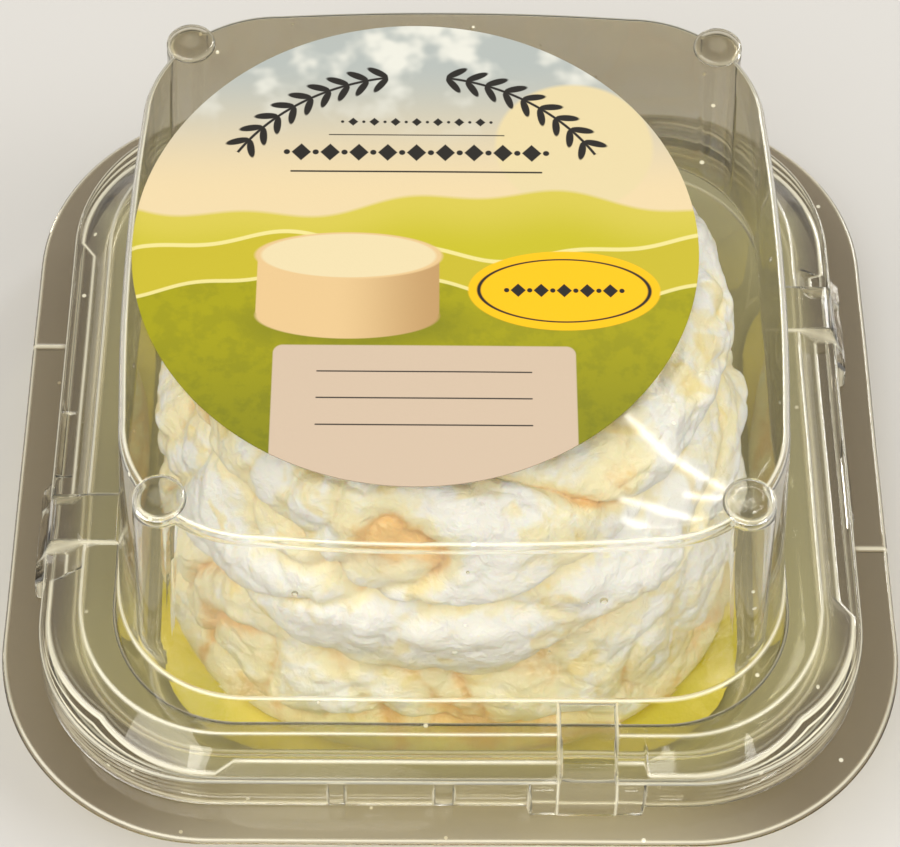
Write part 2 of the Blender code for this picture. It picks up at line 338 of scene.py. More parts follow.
@dataclass(frozen=True)
class ClearFinish:
    """Clear, thin material: moulded sheet, or a drop of water.

    Attributes:
        name: Name of the material.
        tint: Colour that the whole sheet lets through.
        outer_tint_with_sheen: The same further out than the basin at the front and back, if it differs; lighter there
            as a painted reflection.
        side_tint_with_shade: The same further out than the basin at the left and right; darker there as painted shade.
        rear_shade_tint: The same at the rear of the dome, if it differs; darker there as painted shade.
        roughness: Roughness of its surface.
        ior: How strongly it bends light.
        bend_whitening_and_highlight: How white its sharp bends turn: partly stress-whitening, mostly a painted
            highlight.
        rib_highlights: How white the fine ribs round its corners are: painted highlight stripes for ribs with no relief
            of their own.
        dust: How white the specks on it are.
        cloud: How white the whole of it is; on the water, a painted highlight.
        milk_tone: Colour of all that is white on it, the painted highlights included.
    """

    name: str
    tint: Colour = (0.97, 0.97, 0.95)
    outer_tint_with_sheen: Colour | None = None
    side_tint_with_shade: Colour = (1.0, 1.0, 1.0)
    rear_shade_tint: Colour | None = None
    roughness: float = 0.03
    ior: float = 1.5
    bend_whitening_and_highlight: float = 0.0
    rib_highlights: float = 0.0
    dust: float = 0.0
    cloud: float = 0.0
    milk_tone: Colour = from_screen(252, 245, 218)

    def shades(self, paint: Painter) -> tuple[Any, Any]:
        """Colour that the whole sheet lets through, and the one for each of its two faces, with painted light and shade
        by zone.
        """
        tints = (self.tint, self.outer_tint_with_sheen or self.tint, self.side_tint_with_shade, self.rear_shade_tint or self.tint)
        faces = [tuple(math.sqrt(value) for value in tint) for tint in tints]
        if self.outer_tint_with_sheen is None and self.rear_shade_tint is None:
            return self.tint, faces[0]
        axes = paint.add("ShaderNodeSeparateXYZ", {0: paint.place()}).outputs
        if self.outer_tint_with_sheen is None:
            # Painted shade: the dome darker at its rear.
            rear_shade = paint.maths("MULTIPLY", paint.spread(axes[1], 12.0 * MM, 28.0 * MM),
                                 paint.spread(axes[2], 18.0 * MM, 24.0 * MM))
            return paint.mix(rear_shade, tints[0], tints[3]), paint.mix(rear_shade, faces[0], faces[3])
        across, deep = paint.maths("ABSOLUTE", axes[0]), paint.maths("ABSOLUTE", axes[1])
        straight = paint.maths("MAXIMUM", paint.spread(across, 39.5 * MM, 44.0 * MM),
                               paint.spread(deep, 41.5 * MM, 46.0 * MM))
        cornered = paint.spread(paint.maths("ADD", across, deep), 69.0 * MM, 75.0 * MM)
        beyond = paint.maths("MAXIMUM", straight, cornered)
        # Painted shade at the left and right of the flange, painted reflection at the front and back.
        beside = paint.spread(paint.maths("SUBTRACT", across, deep), -30.0 * MM, -4.0 * MM)
        mixed = [paint.mix(beyond, row[0], paint.mix(beside, row[1], row[2])) for row in (tints, faces)]
        return mixed[0], mixed[1]

    def whiteness_and_highlights(self, paint: Painter) -> Socket:
        """Share of the surface turned white: painted highlights along the bends, partly stress-whitening, and on the
        ribs and the water's cloud, with real dust specks.
        """
        share = paint.maths("MULTIPLY_ADD", paint.carried("bend"), self.bend_whitening_and_highlight, self.cloud)
        # Painted highlight: white stripes for the fine ribs.
        if self.rib_highlights > 0.0:
            wave = paint.maths("SINE", paint.maths("MULTIPLY", paint.carried("run"), math.tau / (0.85 * MM)))
            lines = paint.maths("MULTIPLY", paint.spread(wave, 0.45, 1.0), paint.carried("rib"))
            share = paint.maths("MULTIPLY_ADD", lines, self.rib_highlights, share)
        if self.dust > 0.0:
            cells = paint.add("ShaderNodeTexVoronoi", {"Vector": paint.place(), "Scale": 1.0 / (6.0 * MM)})
            speck = paint.spread(cells.outputs["Distance"], 0.055, 0.03)
            share = paint.maths("MULTIPLY_ADD", speck, self.dust, share)
        return paint.maths("MINIMUM", share, 1.0, clamp=True)

    def material(self) -> bpy.types.Material:
        """Glass for what looks at it, with painted white highlights mixed in, and a tinted pane for the light that goes
        through.
        """
        paint = Painter(self.name)
        whole, faces = self.shades(paint)
        surface = paint.principled(
            Base_Color=whole, Roughness=self.roughness, IOR=self.ior, Transmission_Weight=1.0,
        )
        if self.bend_whitening_and_highlight + self.cloud > 0.0:
            white_and_highlight = paint.principled(Base_Color=self.milk_tone, Roughness=0.3, Coat_Weight=0.5)
            surface = paint.blend_shaders(self.whiteness_and_highlights(paint), surface, white_and_highlight)
        pane = paint.add("ShaderNodeBsdfTransparent", {"Color": faces}).outputs[0]
        rays = paint.add("ShaderNodeLightPath").outputs
        through = paint.maths("MAXIMUM", rays["Is Shadow Ray"], rays["Is Diffuse Ray"])
        return paint.finish(paint.blend_shaders(through, surface, pane))


@dataclass(frozen=True)
class RindFinish:
    """Moist goat cheese rind: ivory on the rolls, cream and peach in the folds, the peach partly painted shade.

    Attributes:
        ivory: Colour of the rolls.
        cream: Colour of the flanks.
        peach: Colour of the creases, partly the rind's own and partly painted shade.
        honey: Colour of its wet spots.
        scatter: How far light travels under the rind.
    """

    ivory: Colour = from_screen(253, 252, 248)
    cream: Colour = from_screen(255, 241, 202)
    peach: Colour = from_screen(242, 202, 138)
    honey: Colour = from_screen(245, 218, 124)
    scatter: float = 1.5 * MM

    def material(self) -> bpy.types.Material:
        """Colour from the mesh's warmth, broken up by noise, over soft scattering; the warmth holds painted shade and
        bounce light.
        """
        paint = Painter("goat rind")
        patches = paint.speckle(10.0 * MM, 3.0, 0.6, 0.6)
        flecks = paint.speckle(2.4 * MM, 3.0, 0.65, 0.3)
        warmth_and_shade = paint.maths("MULTIPLY_ADD", patches, 1.3, paint.carried("warmth_and_shade"))
        warmth_and_shade = paint.maths("MULTIPLY_ADD", flecks, 0.8, warmth_and_shade)
        warmth_and_shade = paint.maths("SUBTRACT", warmth_and_shade, 0.97)
        colour = paint.mix(paint.spread(warmth_and_shade, 0.1, 0.5), self.ivory, self.cream)
        wet = paint.maths("MULTIPLY", paint.spread(paint.speckle(5.0 * MM, 2.0, 0.5, 0.8), 0.58, 0.7), 0.5)
        colour = paint.mix(wet, colour, self.honey)
        colour = paint.mix(paint.spread(warmth_and_shade, 0.53, 1.06), colour, self.peach)
        grain = paint.speckle(0.9 * MM, 3.0, 0.6)
        curd = paint.speckle(2.6 * MM, 3.0, 0.6, 0.8)
        relief = paint.maths("MULTIPLY_ADD", curd, 0.75, paint.maths("MULTIPLY", grain, 0.25))
        shader = paint.principled(
            Base_Color=colour,
            Roughness=paint.maths("MULTIPLY_ADD", grain, 0.25, 0.3),
            Subsurface_Weight=0.4,
            Subsurface_Radius=(1.0, 0.72, 0.42),
            Subsurface_Scale=self.scatter,
            Specular_IOR_Level=0.45,
            Coat_Weight=0.3,
            Coat_Roughness=0.14,
            Normal=paint.bump(relief, 0.75 * MM, 0.9),
        )
        return paint.finish(shader)


@dataclass(frozen=True)
class MatFinish:
    """Damp yellow-green mat.

    Attributes:
        light: Colour of its dry parts.
        deep: Colour of its wet parts.
    """

    light: Colour = from_screen(250, 232, 96)
    deep: Colour = from_screen(216, 204, 48)

    def material(self) -> bpy.types.Material:
        """Wet and dry patches with a pressed weave."""
        paint = Painter("damp mat")
        wet = paint.spread(paint.speckle(11.0 * MM, 2.0, 0.5), 0.38, 0.66)
        fibre = paint.speckle(0.7 * MM, 3.0, 0.6)
        colour = paint.mix(wet, self.light, self.deep)
        colour = paint.mix(paint.maths("MULTIPLY", fibre, 0.25), colour, self.deep)
        shader = paint.principled(
            Base_Color=colour,
            Roughness=paint.maths("MULTIPLY_ADD", wet, -0.25, 0.45),
            Coat_Weight=0.2,
            Coat_Roughness=0.2,
            Normal=paint.bump(fibre, 0.12 * MM, 0.8),
        )
        return paint.finish(shader)


@dataclass(frozen=True)
class Row:
    """A row of lozenges with dots between them, in millimetres.

    Attributes:
        centre: Middle of the row.
        lozenges: Number of lozenges on each side of the middle one.
        half_width: Half the width of a lozenge.
        half_height: Half its height.
        pitch: Distance from one lozenge to the next.
        dot: Radius of a dot.
    """

    centre: tuple[float, float]
    lozenges: int
    half_width: float
    half_height: float
    pitch: float
    dot: float


@dataclass(frozen=True)
class PrintFinish:
    """Satin label paper with a plain landscape print, drawn in millimetres.

    Attributes:
        centre: Middle of the label.
        leaf: Half the length and half the width of a laurel leaf.
        leaf_pitch: Distance from one pair of leaves to the next.
        leaf_lean: How far a leaf leans from its twig, in degrees.
    """

    centre: Vector

    sky: Colour = from_screen(152, 156, 150)
    haze: Colour = from_screen(198, 178, 138)
    cloud: Colour = from_screen(196, 194, 182)
    sun: Colour = from_screen(194, 178, 136)
    far_hill: Colour = from_screen(180, 166, 62)
    far_foot: Colour = from_screen(168, 158, 28)
    middle: Colour = from_screen(168, 154, 34)
    field: Colour = from_screen(140, 134, 4)
    dark_field: Colour = from_screen(104, 104, 10)
    lane: Colour = from_screen(204, 192, 126)
    butter: Colour = from_screen(198, 182, 142)
    butter_side: Colour = from_screen(194, 164, 116)
    butter_shade: Colour = from_screen(162, 128, 82)
    gold: Colour = from_screen(216, 164, 2)
    panel: Colour = from_screen(178, 158, 135)
    ink: Colour = from_screen(30, 26, 20)
    leaf: tuple[float, float] = (1.3, 0.42)
    leaf_pitch: float = 2.2
    leaf_lean: float = 42.0

    def edge(self, paint: Painter, distance: Socket, softness: float = 0.12) -> Socket:
        """Share of ink for a signed distance in millimetres, 1 inside."""
        return paint.maths("MULTIPLY_ADD", distance, -1.0 / softness, 0.5, clamp=True)

    def line(self, paint: Painter, distance: Socket, width: float) -> Socket:
        """Share of ink for a line of a width drawn along a signed distance of 0."""
        return self.edge(paint, paint.maths("SUBTRACT", paint.maths("ABSOLUTE", distance), width / 2.0))

    def oval(self, paint: Painter, point: tuple[Socket, Socket], centre: tuple[float, float],
             size: tuple[float, float]) -> Socket:
        """Signed distance to an upright oval.

        Args:
            paint: The material's painter.
            point: Place on the label, across and up.
            centre: Middle of the oval.
            size: Its half width and half height.

        Returns:
            The distance, below 0 inside.
        """
        across = paint.maths("DIVIDE", paint.maths("SUBTRACT", point[0], centre[0]), size[0])
        up = paint.maths("DIVIDE", paint.maths("SUBTRACT", point[1], centre[1]), size[1])
        squares = paint.maths("MULTIPLY_ADD", across, across, paint.maths("MULTIPLY", up, up))
        return paint.maths("MULTIPLY", paint.maths("SUBTRACT", paint.maths("SQRT", squares), 1.0), min(size))

    def box(self, paint: Painter, point: tuple[Socket, Socket], centre: tuple[float, float],
            size: tuple[float, float], corner: float) -> Socket:
        """Signed distance to a box with round corners.

        Args:
            paint: The material's painter.
            point: Place on the label, across and up.
            centre: Middle of the box.
            size: Its half width and half height.
            corner: Radius of its corners.

        Returns:
            The distance, below 0 inside.
        """
        over = []
        for value, middle, half in zip(point, centre, size):
            off = paint.maths("ABSOLUTE", paint.maths("SUBTRACT", value, middle))
            over.append(paint.maths("SUBTRACT", off, half - corner))
        beyond = [paint.maths("MAXIMUM", value, 0.0) for value in over]
        squares = paint.maths("MULTIPLY_ADD", beyond[0], beyond[0], paint.maths("MULTIPLY", beyond[1], beyond[1]))
        inside = paint.maths("MINIMUM", paint.maths("MAXIMUM", over[0], over[1]), 0.0)
        return paint.maths("SUBTRACT", paint.maths("ADD", paint.maths("SQRT", squares), inside), corner)

    def ridge(self, paint: Painter, point: tuple[Socket, Socket], level: float,
              waves: Sequence[tuple[float, float, float]]) -> Socket:
        """Height of a place over a rolling line of hills.

        Args:
            paint: The material's painter.
            point: Place on the label, across and up.
            level: Mean height of the line.
            waves: Height, length and start of each wave on it.

        Returns:
            The height, below 0 under the line.
        """
        height = paint.maths("SUBTRACT", point[1], level)
        for rise, length, start in waves:
            turn = paint.maths("MULTIPLY_ADD", point[0], math.tau / length, start)
            height = paint.maths("MULTIPLY_ADD", paint.maths("SINE", turn), -rise, height)
        return height

    def beads(self, paint: Painter, point: tuple[Socket, Socket], row: Row) -> Socket:
        """Signed distance to a row of lozenges and dots.

        Args:
            paint: The material's painter.
            point: Place on the label, across and up.
            row: The row.

        Returns:
            The distance, below 0 inside.
        """
        along = paint.maths("SUBTRACT", point[0], row.centre[0])
        turns = paint.maths("FRACT", paint.maths("MULTIPLY_ADD", along, 1.0 / row.pitch, 0.5))
        across = paint.maths("ABSOLUTE", paint.maths("MULTIPLY_ADD", turns, row.pitch, -row.pitch / 2.0))
        up = paint.maths("ABSOLUTE", paint.maths("SUBTRACT", point[1], row.centre[1]))
        slant = paint.maths("MULTIPLY_ADD", across, 1.0 / row.half_width,
                            paint.maths("DIVIDE", up, row.half_height))
        lozenge = paint.maths("MULTIPLY", paint.maths("SUBTRACT", slant, 1.0),
                              0.7 * min(row.half_width, row.half_height))
        gap = paint.maths("SUBTRACT", across, row.pitch / 2.0)
        dot = paint.maths("SUBTRACT", self.length(paint, gap, up), row.dot)
        reach = (row.lozenges + 0.5) * row.pitch + row.dot
        past = paint.maths("SUBTRACT", paint.maths("ABSOLUTE", along), reach)
        return paint.maths("MAXIMUM", paint.maths("MINIMUM", lozenge, dot), past)

    def length(self, paint: Painter, across: Socket, up: Socket) -> Socket:
        """Length of a step across and up."""
        return paint.maths("SQRT", paint.maths("MULTIPLY_ADD", across, across, paint.maths("MULTIPLY", up, up)))

    def laurel(self, paint: Painter, point: tuple[Socket, Socket], radius: float, start: float, end: float) -> Socket:
        """Signed distance to two laurel twigs on an arch, mirrored about its top.

        Args:
            paint: The material's painter.
            point: Place on the label, across and up.
            radius: Radius of the arch.
            start: Where a twig starts, along the arch from its top.
            end: Where it ends.

        Returns:
            The distance, below 0 inside.
        """
        bearing = paint.maths("ARCTAN2", point[0], point[1])
        along = paint.maths("SUBTRACT", paint.maths("MULTIPLY", paint.maths("ABSOLUTE", bearing), radius), start)
        beside = paint.maths("ABSOLUTE", paint.maths("SUBTRACT", self.length(paint, *point), radius))
        turns = paint.maths("FRACT", paint.maths("DIVIDE", along, self.leaf_pitch))
        middle = paint.maths("MULTIPLY", turns, self.leaf_pitch)
        lean = math.radians(self.leaf_lean)
        down = paint.maths("MULTIPLY_ADD", middle, math.cos(lean), paint.maths("MULTIPLY", beside, math.sin(lean)))
        off = paint.maths("MULTIPLY_ADD", middle, -math.sin(lean), paint.maths("MULTIPLY", beside, math.cos(lean)))
        leaf = self.oval(paint, (down, off), (self.leaf[0], 0.0), self.leaf)
        twig = paint.maths("MINIMUM", leaf, paint.maths("SUBTRACT", beside, 0.16))
        ends = paint.maths("MAXIMUM", paint.maths("MULTIPLY", along, -1.0),
                           paint.maths("SUBTRACT", along, end - start))
        return paint.maths("MAXIMUM", twig, ends)

    def landscape(self, paint: Painter, point: tuple[Socket, Socket]) -> Socket:
        """Sky with clouds and a pale sun, far hills and fields with lanes between them."""
        colour = paint.mix(paint.spread(point[1], 6.0, 25.0), self.haze, self.sky)
        cloud = paint.spread(paint.speckle(9.0 * MM, 3.0, 0.55), 0.48, 0.62)
        high = paint.maths("MULTIPLY", cloud, paint.spread(point[1], 12.0, 24.0))
        colour = paint.mix(high, colour, self.cloud)
        colour = paint.mix(self.edge(paint, self.oval(paint, point, (17.0, 13.0), (8.5, 8.5)), 0.5), colour, self.sun)
        far = self.ridge(paint, point, 5.0, [(1.6, 58.0, 0.4), (0.6, 17.0, 2.0)])
        hill = paint.mix(paint.spread(far, -7.0, 0.0), self.far_foot, self.far_hill)
        colour = paint.mix(self.edge(paint, far, 0.5), colour, hill)
        middle = self.ridge(paint, point, -0.5, [(1.4, 46.0, 3.4), (0.5, 15.0, 1.0)])
        colour = paint.mix(self.edge(paint, middle, 0.3), colour, self.middle)
        colour = paint.mix(paint.maths("MULTIPLY", self.line(paint, middle, 0.5), 0.9), colour, self.lane)
        near = self.ridge(paint, point, -5.5, [(1.8, 52.0, 2.7), (0.4, 13.0, 0.4)])
        tuft = paint.spread(paint.speckle(2.2 * MM, 3.0, 0.65), 0.42, 0.62)
        shade = paint.maths("MULTIPLY_ADD", tuft, 0.35, paint.spread(point[1], -8.0, -26.0))
        grass = paint.mix(paint.maths("MULTIPLY", shade, 0.75), self.field, self.dark_field)
        colour = paint.mix(self.edge(paint, near, 0.3), colour, grass)
        return paint.mix(paint.maths("MULTIPLY", self.line(paint, near, 0.45), 0.9), colour, self.lane)

    def wheel(self, paint: Painter, point: tuple[Socket, Socket], under: Socket) -> Socket:
        """Plain drum of cheese with a pale top and a soft shadow, drawn over the landscape."""
        shadow = self.oval(paint, point, (-6.0, -10.2), (11.5, 3.2))
        colour = paint.mix(paint.maths("MULTIPLY", self.edge(paint, shadow, 1.6), 0.6), under, self.dark_field)
        side_box = self.box(paint, point, (-7.0, -5.5), (9.5, 3.8), 0.4)
        side_foot = self.oval(paint, point, (-7.0, -9.3), (9.5, 2.9))
        side = paint.maths("MINIMUM", side_box, side_foot)
        skin = paint.mix(paint.spread(point[0], -9.0, 3.0), self.butter_side, self.butter_shade)
        colour = paint.mix(self.edge(paint, side), colour, skin)
        top = self.oval(paint, point, (-7.0, -1.7), (9.5, 2.9))
        colour = paint.mix(self.edge(paint, top), colour, self.butter)
        return paint.mix(self.line(paint, top, 0.2), colour, self.butter_side)

    def ornament(self, paint: Painter, point: tuple[Socket, Socket], under: Socket) -> Socket:
        """Dark trimmings: laurel on the arch, rows of beads, and plain rules."""
        rows = (
            Row((0.0, 16.2), 3, 0.55, 0.55, 2.3, 0.18), Row((0.0, 12.0), 4, 1.05, 1.15, 3.1, 0.34),
            Row((15.5, -6.0), 2, 0.8, 0.85, 2.4, 0.28),
        )
        shapes = [self.beads(paint, point, row) for row in rows]
        shapes.append(self.laurel(paint, point, 22.6, 3.2, 3.2 + 9.0 * self.leaf_pitch))
        rules = (
            ((0.0, 9.4), (13.5, 0.11)), ((0.0, 14.4), (9.5, 0.07)), ((1.0, -16.2), (11.0, 0.08)),
            ((1.0, -19.4), (11.0, 0.08)), ((1.0, -22.6), (11.0, 0.08)),
        )
        shapes += [self.box(paint, point, centre, size, size[1]) for centre, size in rules]
        ring = self.oval(paint, point, (15.5, -6.0), (8.9, 3.95))
        shapes.append(paint.maths("SUBTRACT", paint.maths("ABSOLUTE", ring), 0.09))
        together = shapes[0]
        for shape in shapes[1:]:
            together = paint.maths("MINIMUM", together, shape)
        return paint.mix(self.edge(paint, together, 0.08), under, self.ink)

    def colour(self, paint: Painter) -> Socket:
        """Whole print of the label."""
        place = paint.place(self.centre, 1.0 / MM)
        axes = paint.add("ShaderNodeSeparateXYZ", {0: place}).outputs
        point = (axes[0], axes[1])
        colour = self.wheel(paint, point, self.landscape(paint, point))
        badge = self.oval(paint, point, (15.5, -6.0), (10.0, 5.0))
        colour = paint.mix(self.edge(paint, badge), colour, self.gold)
        window = self.box(paint, point, (1.0, -23.5), (15.5, 10.5), 1.0)
        colour = paint.mix(self.edge(paint, window), colour, self.panel)
        return self.ornament(paint, point, colour)

    def material(self) -> bpy.types.Material:
        """Print on satin paper with a faint tooth."""
        paint = Painter("printed label")
        tooth = paint.speckle(0.35 * MM, 2.0, 0.6)
        shader = paint.principled(
            Base_Color=self.colour(paint),
            Roughness=paint.maths("MULTIPLY_ADD", tooth, 0.12, 0.36),
            Specular_IOR_Level=0.35,
            Normal=paint.bump(tooth, 0.02 * MM, 0.5),
        )
        return paint.finish(shader)


@dataclass(frozen=True)
class FloorFinish:
    """Plain pale studio floor.

    Attributes:
        tone: Colour of the floor.
    """

    tone: Colour = from_screen(188, 184, 177)

    def material(self) -> bpy.types.Material:
        """Matt paper with the faintest mottle."""
        paint = Painter("studio floor")
        mottle = paint.maths("MULTIPLY", paint.speckle(60.0 * MM, 2.0), 0.05)
        colour = paint.mix(mottle, self.tone, from_screen(178, 174, 167))
        return paint.finish(paint.principled(Base_Color=colour, Roughness=0.8))


@dataclass(frozen=True)
class Level:
    """One ring of a moulded sheet: a square with round corners at one height.

    Attributes:
        half: Half the width of the square.
        corner: Radius of its corners.
        height: Height of the ring.
        bow: How far each side swells at its middle.
        pillar: How much of the corner pillars shows, 0 or 1.
        bend: How sharply the sheet turns here, from 0 to 1; the finish paints a highlight there.
        run: Length along the sheet from the first ring.
    """

    half: float
    corner: float
    height: float
    bow: float = 0.0
    pillar: float = 0.0
    bend: float = 0.0
    run: float = 0.0

    def reach_to(self, other: "Level") -> float:
        """Length of sheet between two rings."""
        return math.hypot(other.half - self.half, other.height - self.height)

    def towards(self, other: "Level", share: float) -> "Level":
        """Ring at a share of the way to another one."""
        def between(first: float, second: float) -> float:
            """Value at the share."""
            return first + (second - first) * share

        return Level(
            between(self.half, other.half), between(self.corner, other.corner),
            between(self.height, other.height), between(self.bow, other.bow),
            between(self.pillar, other.pillar),
            between(self.bend, other.bend),
        )


def round_bends(levels: Sequence[Level], reach: float, steps: int) -> list[Level]:
    """Round every bend of a sheet's section.

    Args:
        levels: Rings at the sharp bends.
        reach: How far from a bend its rounding starts.
        steps: Number of short stretches that make the rounding.

    Returns:
        The rings of the rounded sheet.
    """
    rounded = [levels[0]]
    for before, here, after in zip(levels, levels[1:], levels[2:]):
        arrive = math.atan2(here.height - before.height, here.half - before.half)
        leave = math.atan2(after.height - here.height, after.half - here.half)
        turn = abs((leave - arrive + math.pi) % math.tau - math.pi)
        start = here.towards(before, min(0.45, reach / here.reach_to(before)))
        end = here.towards(after, min(0.45, reach / here.reach_to(after)))
        for step in range(steps + 1):
            share = step / steps
            ring = start.towards(here, share).towards(here.towards(end, share), share)
            bend = min(1.0, turn / math.radians(60.0)) * math.sin(math.pi * share) ** 2
            rounded.append(replace(ring, bend=bend))
    rounded.append(levels[-1])
    return rounded


def fill_between(levels: Sequence[Level], longest: float) -> list[Level]:
    """Add rings so that no stretch of sheet is longer than a length.

    Args:
        levels: Rings of the sheet.
        longest: The longest stretch left.

    Returns:
        The rings with their run along the sheet.
    """
    filled = [levels[0]]
    for before, after in zip(levels, levels[1:]):
        pieces = max(1, math.ceil(before.reach_to(after) / longest))
        for piece in range(1, pieces + 1):
            ring = before.towards(after, piece / pieces)
            run = filled[-1].run + before.reach_to(after) / pieces
            filled.append(replace(ring, run=run))
    return filled


class Mark(Enum):
    """Small forms that a sheet's side can carry."""

    LUG = "lug"
    STEP = "step"
    PANEL = "panel"
    GROOVE = "groove"
    CREASE = "crease"


class Side(Enum):
    """Sides of the pack, anticlockwise from +X."""

    RIGHT = 0
    BACK = 1
    LEFT = 2
    FRONT = 3


@dataclass(frozen=True)
class Feature:
    """A small form on a stretch of one side.

    Attributes:
        mark: Kind of form.
        side: Side that it is on.
        start: Where it starts along the side, anticlockwise.
        end: Where it ends.
        soft: Width over which it rises.
    """

    mark: Mark
    side: Side
    start: float
    end: float
    soft: float = 0.45 * MM

    def share(self, along: float) -> float:
        """How much of the form shows at a place along the side."""
        rise = smooth_step(self.start - self.soft / 2.0, self.start + self.soft / 2.0, along)
        fall = smooth_step(self.end - self.soft / 2.0, self.end + self.soft / 2.0, along)
        return rise - fall

    def columns(self) -> list[float]:
        """Places along the side where the sheet needs a column for the form."""
        steps = (-0.5, -0.25, 0.0, 0.25, 0.5)
        return [edge + self.soft * step for edge in (self.start, self.end) for step in steps]


@dataclass
class Sheet:
    """Clear sheet moulded over a square form with round corners.

    Attributes:
        name: Name of the piece.
        node: CAD node that it replaces.
        wall: Thickness of the sheet.
        ripple: How far its faces wander from true.
        ripple_spacing: Size of that wandering.
        straight: Half the straight stretch of the outermost ring.
        calm: Half the stretch whose columns keep their place at every level.
        longest: Longest stretch between two rings.
        bend_reach: How far a rounded bend reaches to each side.
        bend_steps: Number of stretches in a rounded bend.
    """

    name: str
    node: str
    wall: float
    ripple: float = 0.06 * MM
    ripple_spacing: float = 13.0 * MM
    straight: float = 25.4 * MM
    calm: float = 18.5 * MM
    longest: float = 1.6 * MM
    bend_reach: float = 0.35 * MM
    bend_steps: int = 5
    arc_angles: list[float] = field(default_factory=list)
    made_columns: list[tuple[Side, float | None, float]] = field(init=False, default_factory=list)
    made_features: list["Feature"] = field(init=False, default_factory=list)
    last_run: float = field(init=False, default=1.0)

    def levels(self) -> list[Level]:
        """Rings at the sharp bends, from the middle outwards."""
        raise NotImplementedError

    def features(self) -> list[Feature]:
        """Small forms on the sheet's sides."""
        return []

    def corner_reach(self, level: Level, angle: float) -> float:
        """Distance of the sheet from the centre of its corner's arc."""
        return level.corner

    def shaped(self, level: Level, side: Side, along: float) -> tuple[float, float, float]:
        """Distance out, height and bend of the sheet at a place along a side."""
        return level.half, level.height, level.bend

    def place_along(self, along: float, level: Level) -> float:
        """Where a column stands along a side at one level.

        Args:
            along: The column's place at the outermost ring.
            level: The ring.

        Returns:
            Its place on that ring.
        """
        room = level.half - level.corner
        if room <= self.calm or abs(along) <= self.calm:
            return along if room > self.calm else along * room / self.straight
        extra = (abs(along) - self.calm) * (room - self.calm) / (self.straight - self.calm)
        return math.copysign(self.calm + extra, along)

    def columns(self) -> list[tuple[Side, float | None, float]]:
        """Every column of the sheet: its side, and its place along it or its corner angle."""
        found: list[tuple[Side, float | None, float]] = []
        spacing = 2.1 * MM
        for side in Side:
            count = math.ceil(2.0 * self.straight / spacing)
            places = [-self.straight + 2.0 * self.straight * step / count for step in range(count)]
            wanted = [place for mark in self.made_features if mark.side == side for place in mark.columns()]
            kept = [place for place in places
                    if all(abs(place - other) > 0.3 * MM for other in wanted)]
            stretch = sorted(kept + [place for place in wanted if abs(place) < self.straight])
            found += [(side, place, 0.0) for place in stretch]
            found += [(side, None, math.radians(angle)) for angle in self.arc_angles]
        return found

    def ring_points(self, level: Level) -> list[tuple[Vector, float]]:
        """Points of one ring, each with how sharply the sheet turns there.

        Args:
            level: The ring.

        Returns:
            The points, anticlockwise.
        """
        points = []
        for side, along, angle in self.made_columns:
            turn = Matrix.Rotation(math.radians(90.0) * side.value, 3, "Z")
            if along is None:
                reach = self.corner_reach(level, angle)
                room = level.half - level.corner
                spot = Vector((room + reach * math.cos(angle), room + reach * math.sin(angle), level.height))
                points.append((turn @ spot, level.bend))
                continue
            placed = self.place_along(along, level)
            share = placed / max(level.half - level.corner, 1.0 * MM)
            out, height, bend = self.shaped(level, side, along)
            out += level.bow * max(0.0, 1.0 - share * share)
            points.append((turn @ Vector((out, placed, height)), bend))
        return points

    def build(self, finish: ClearFinish) -> bpy.types.Object:
        """Mould the sheet ring by ring, give it its wall and its finish.

        Args:
            finish: Clear finish of the sheet.

        Returns:
            The finished piece.
        """
        levels = fill_between(round_bends(self.levels(), self.bend_reach, self.bend_steps), self.longest)
        self.last_run = levels[-1].run
        self.made_features = self.features()
        self.made_columns = self.columns()
        deselect_all()
        bpy.ops.mesh.primitive_circle_add(
            vertices=len(self.made_columns), radius=levels[0].half, fill_type="NGON",
        )
        item = bpy.context.object
        item.name = self.name
        with editing(item) as mesh:
            layers = [mesh.verts.layers.float.new(name) for name in ("bend", "rib", "run")]
            mesh.verts.ensure_lookup_table()
            ring = [vert.index for vert in mesh.verts]
            self.lay([mesh.verts[place] for place in ring], levels[0], layers)
            for level in levels[1:]:
                bpy.ops.mesh.extrude_edges_indiv()
                mesh.verts.index_update()
                mesh.verts.ensure_lookup_table()
                outer = [self.grown(mesh.verts[place]) for place in ring]
                self.lay(outer, level, layers)
                ring = [vert.index for vert in outer]
        face_up(item)
        add_wall(item, self.wall)
        shade(item)
        item.data.materials.append(finish.material())
        return item

    def grown(self, vert: bmesh.types.BMVert) -> bmesh.types.BMVert:
        """Vertex that the last extrusion grew from one."""
        return next(edge.other_vert(vert) for edge in vert.link_edges if edge.other_vert(vert).select)

    def lay(self, ring: list[bmesh.types.BMVert], level: Level, layers: Sequence[bmesh.types.BMLayerItem]) -> None:
        """Put a ring of vertices in its place and note how the sheet runs there.

        Args:
            ring: The vertices, anticlockwise.
            level: The ring's level.
            layers: Layers of the mesh for the bends, the ribs' painted highlight stripes and the run along the sheet.
        """
        rib_highlights = [self.rib_highlights(level, angle) if along is None else 0.0 for _, along, angle in self.made_columns]
        for vert, (point, bend), rib in zip(ring, self.ring_points(level), rib_highlights):
            vert.co = point + self.wander(point, level)
            for layer, value in zip(layers, (bend, rib, level.run)):
                vert[layer] = value

    def rib_highlights(self, level: Level, angle: float) -> float:
        """How much of the fine ribs' painted highlight stripes shows."""
        return 0.0

    def wander(self, point: Vector, level: Level) -> Vector:
        """How far the sheet lies from true at a point."""
        return noise.noise_vector(point / self.ripple_spacing) * self.ripple


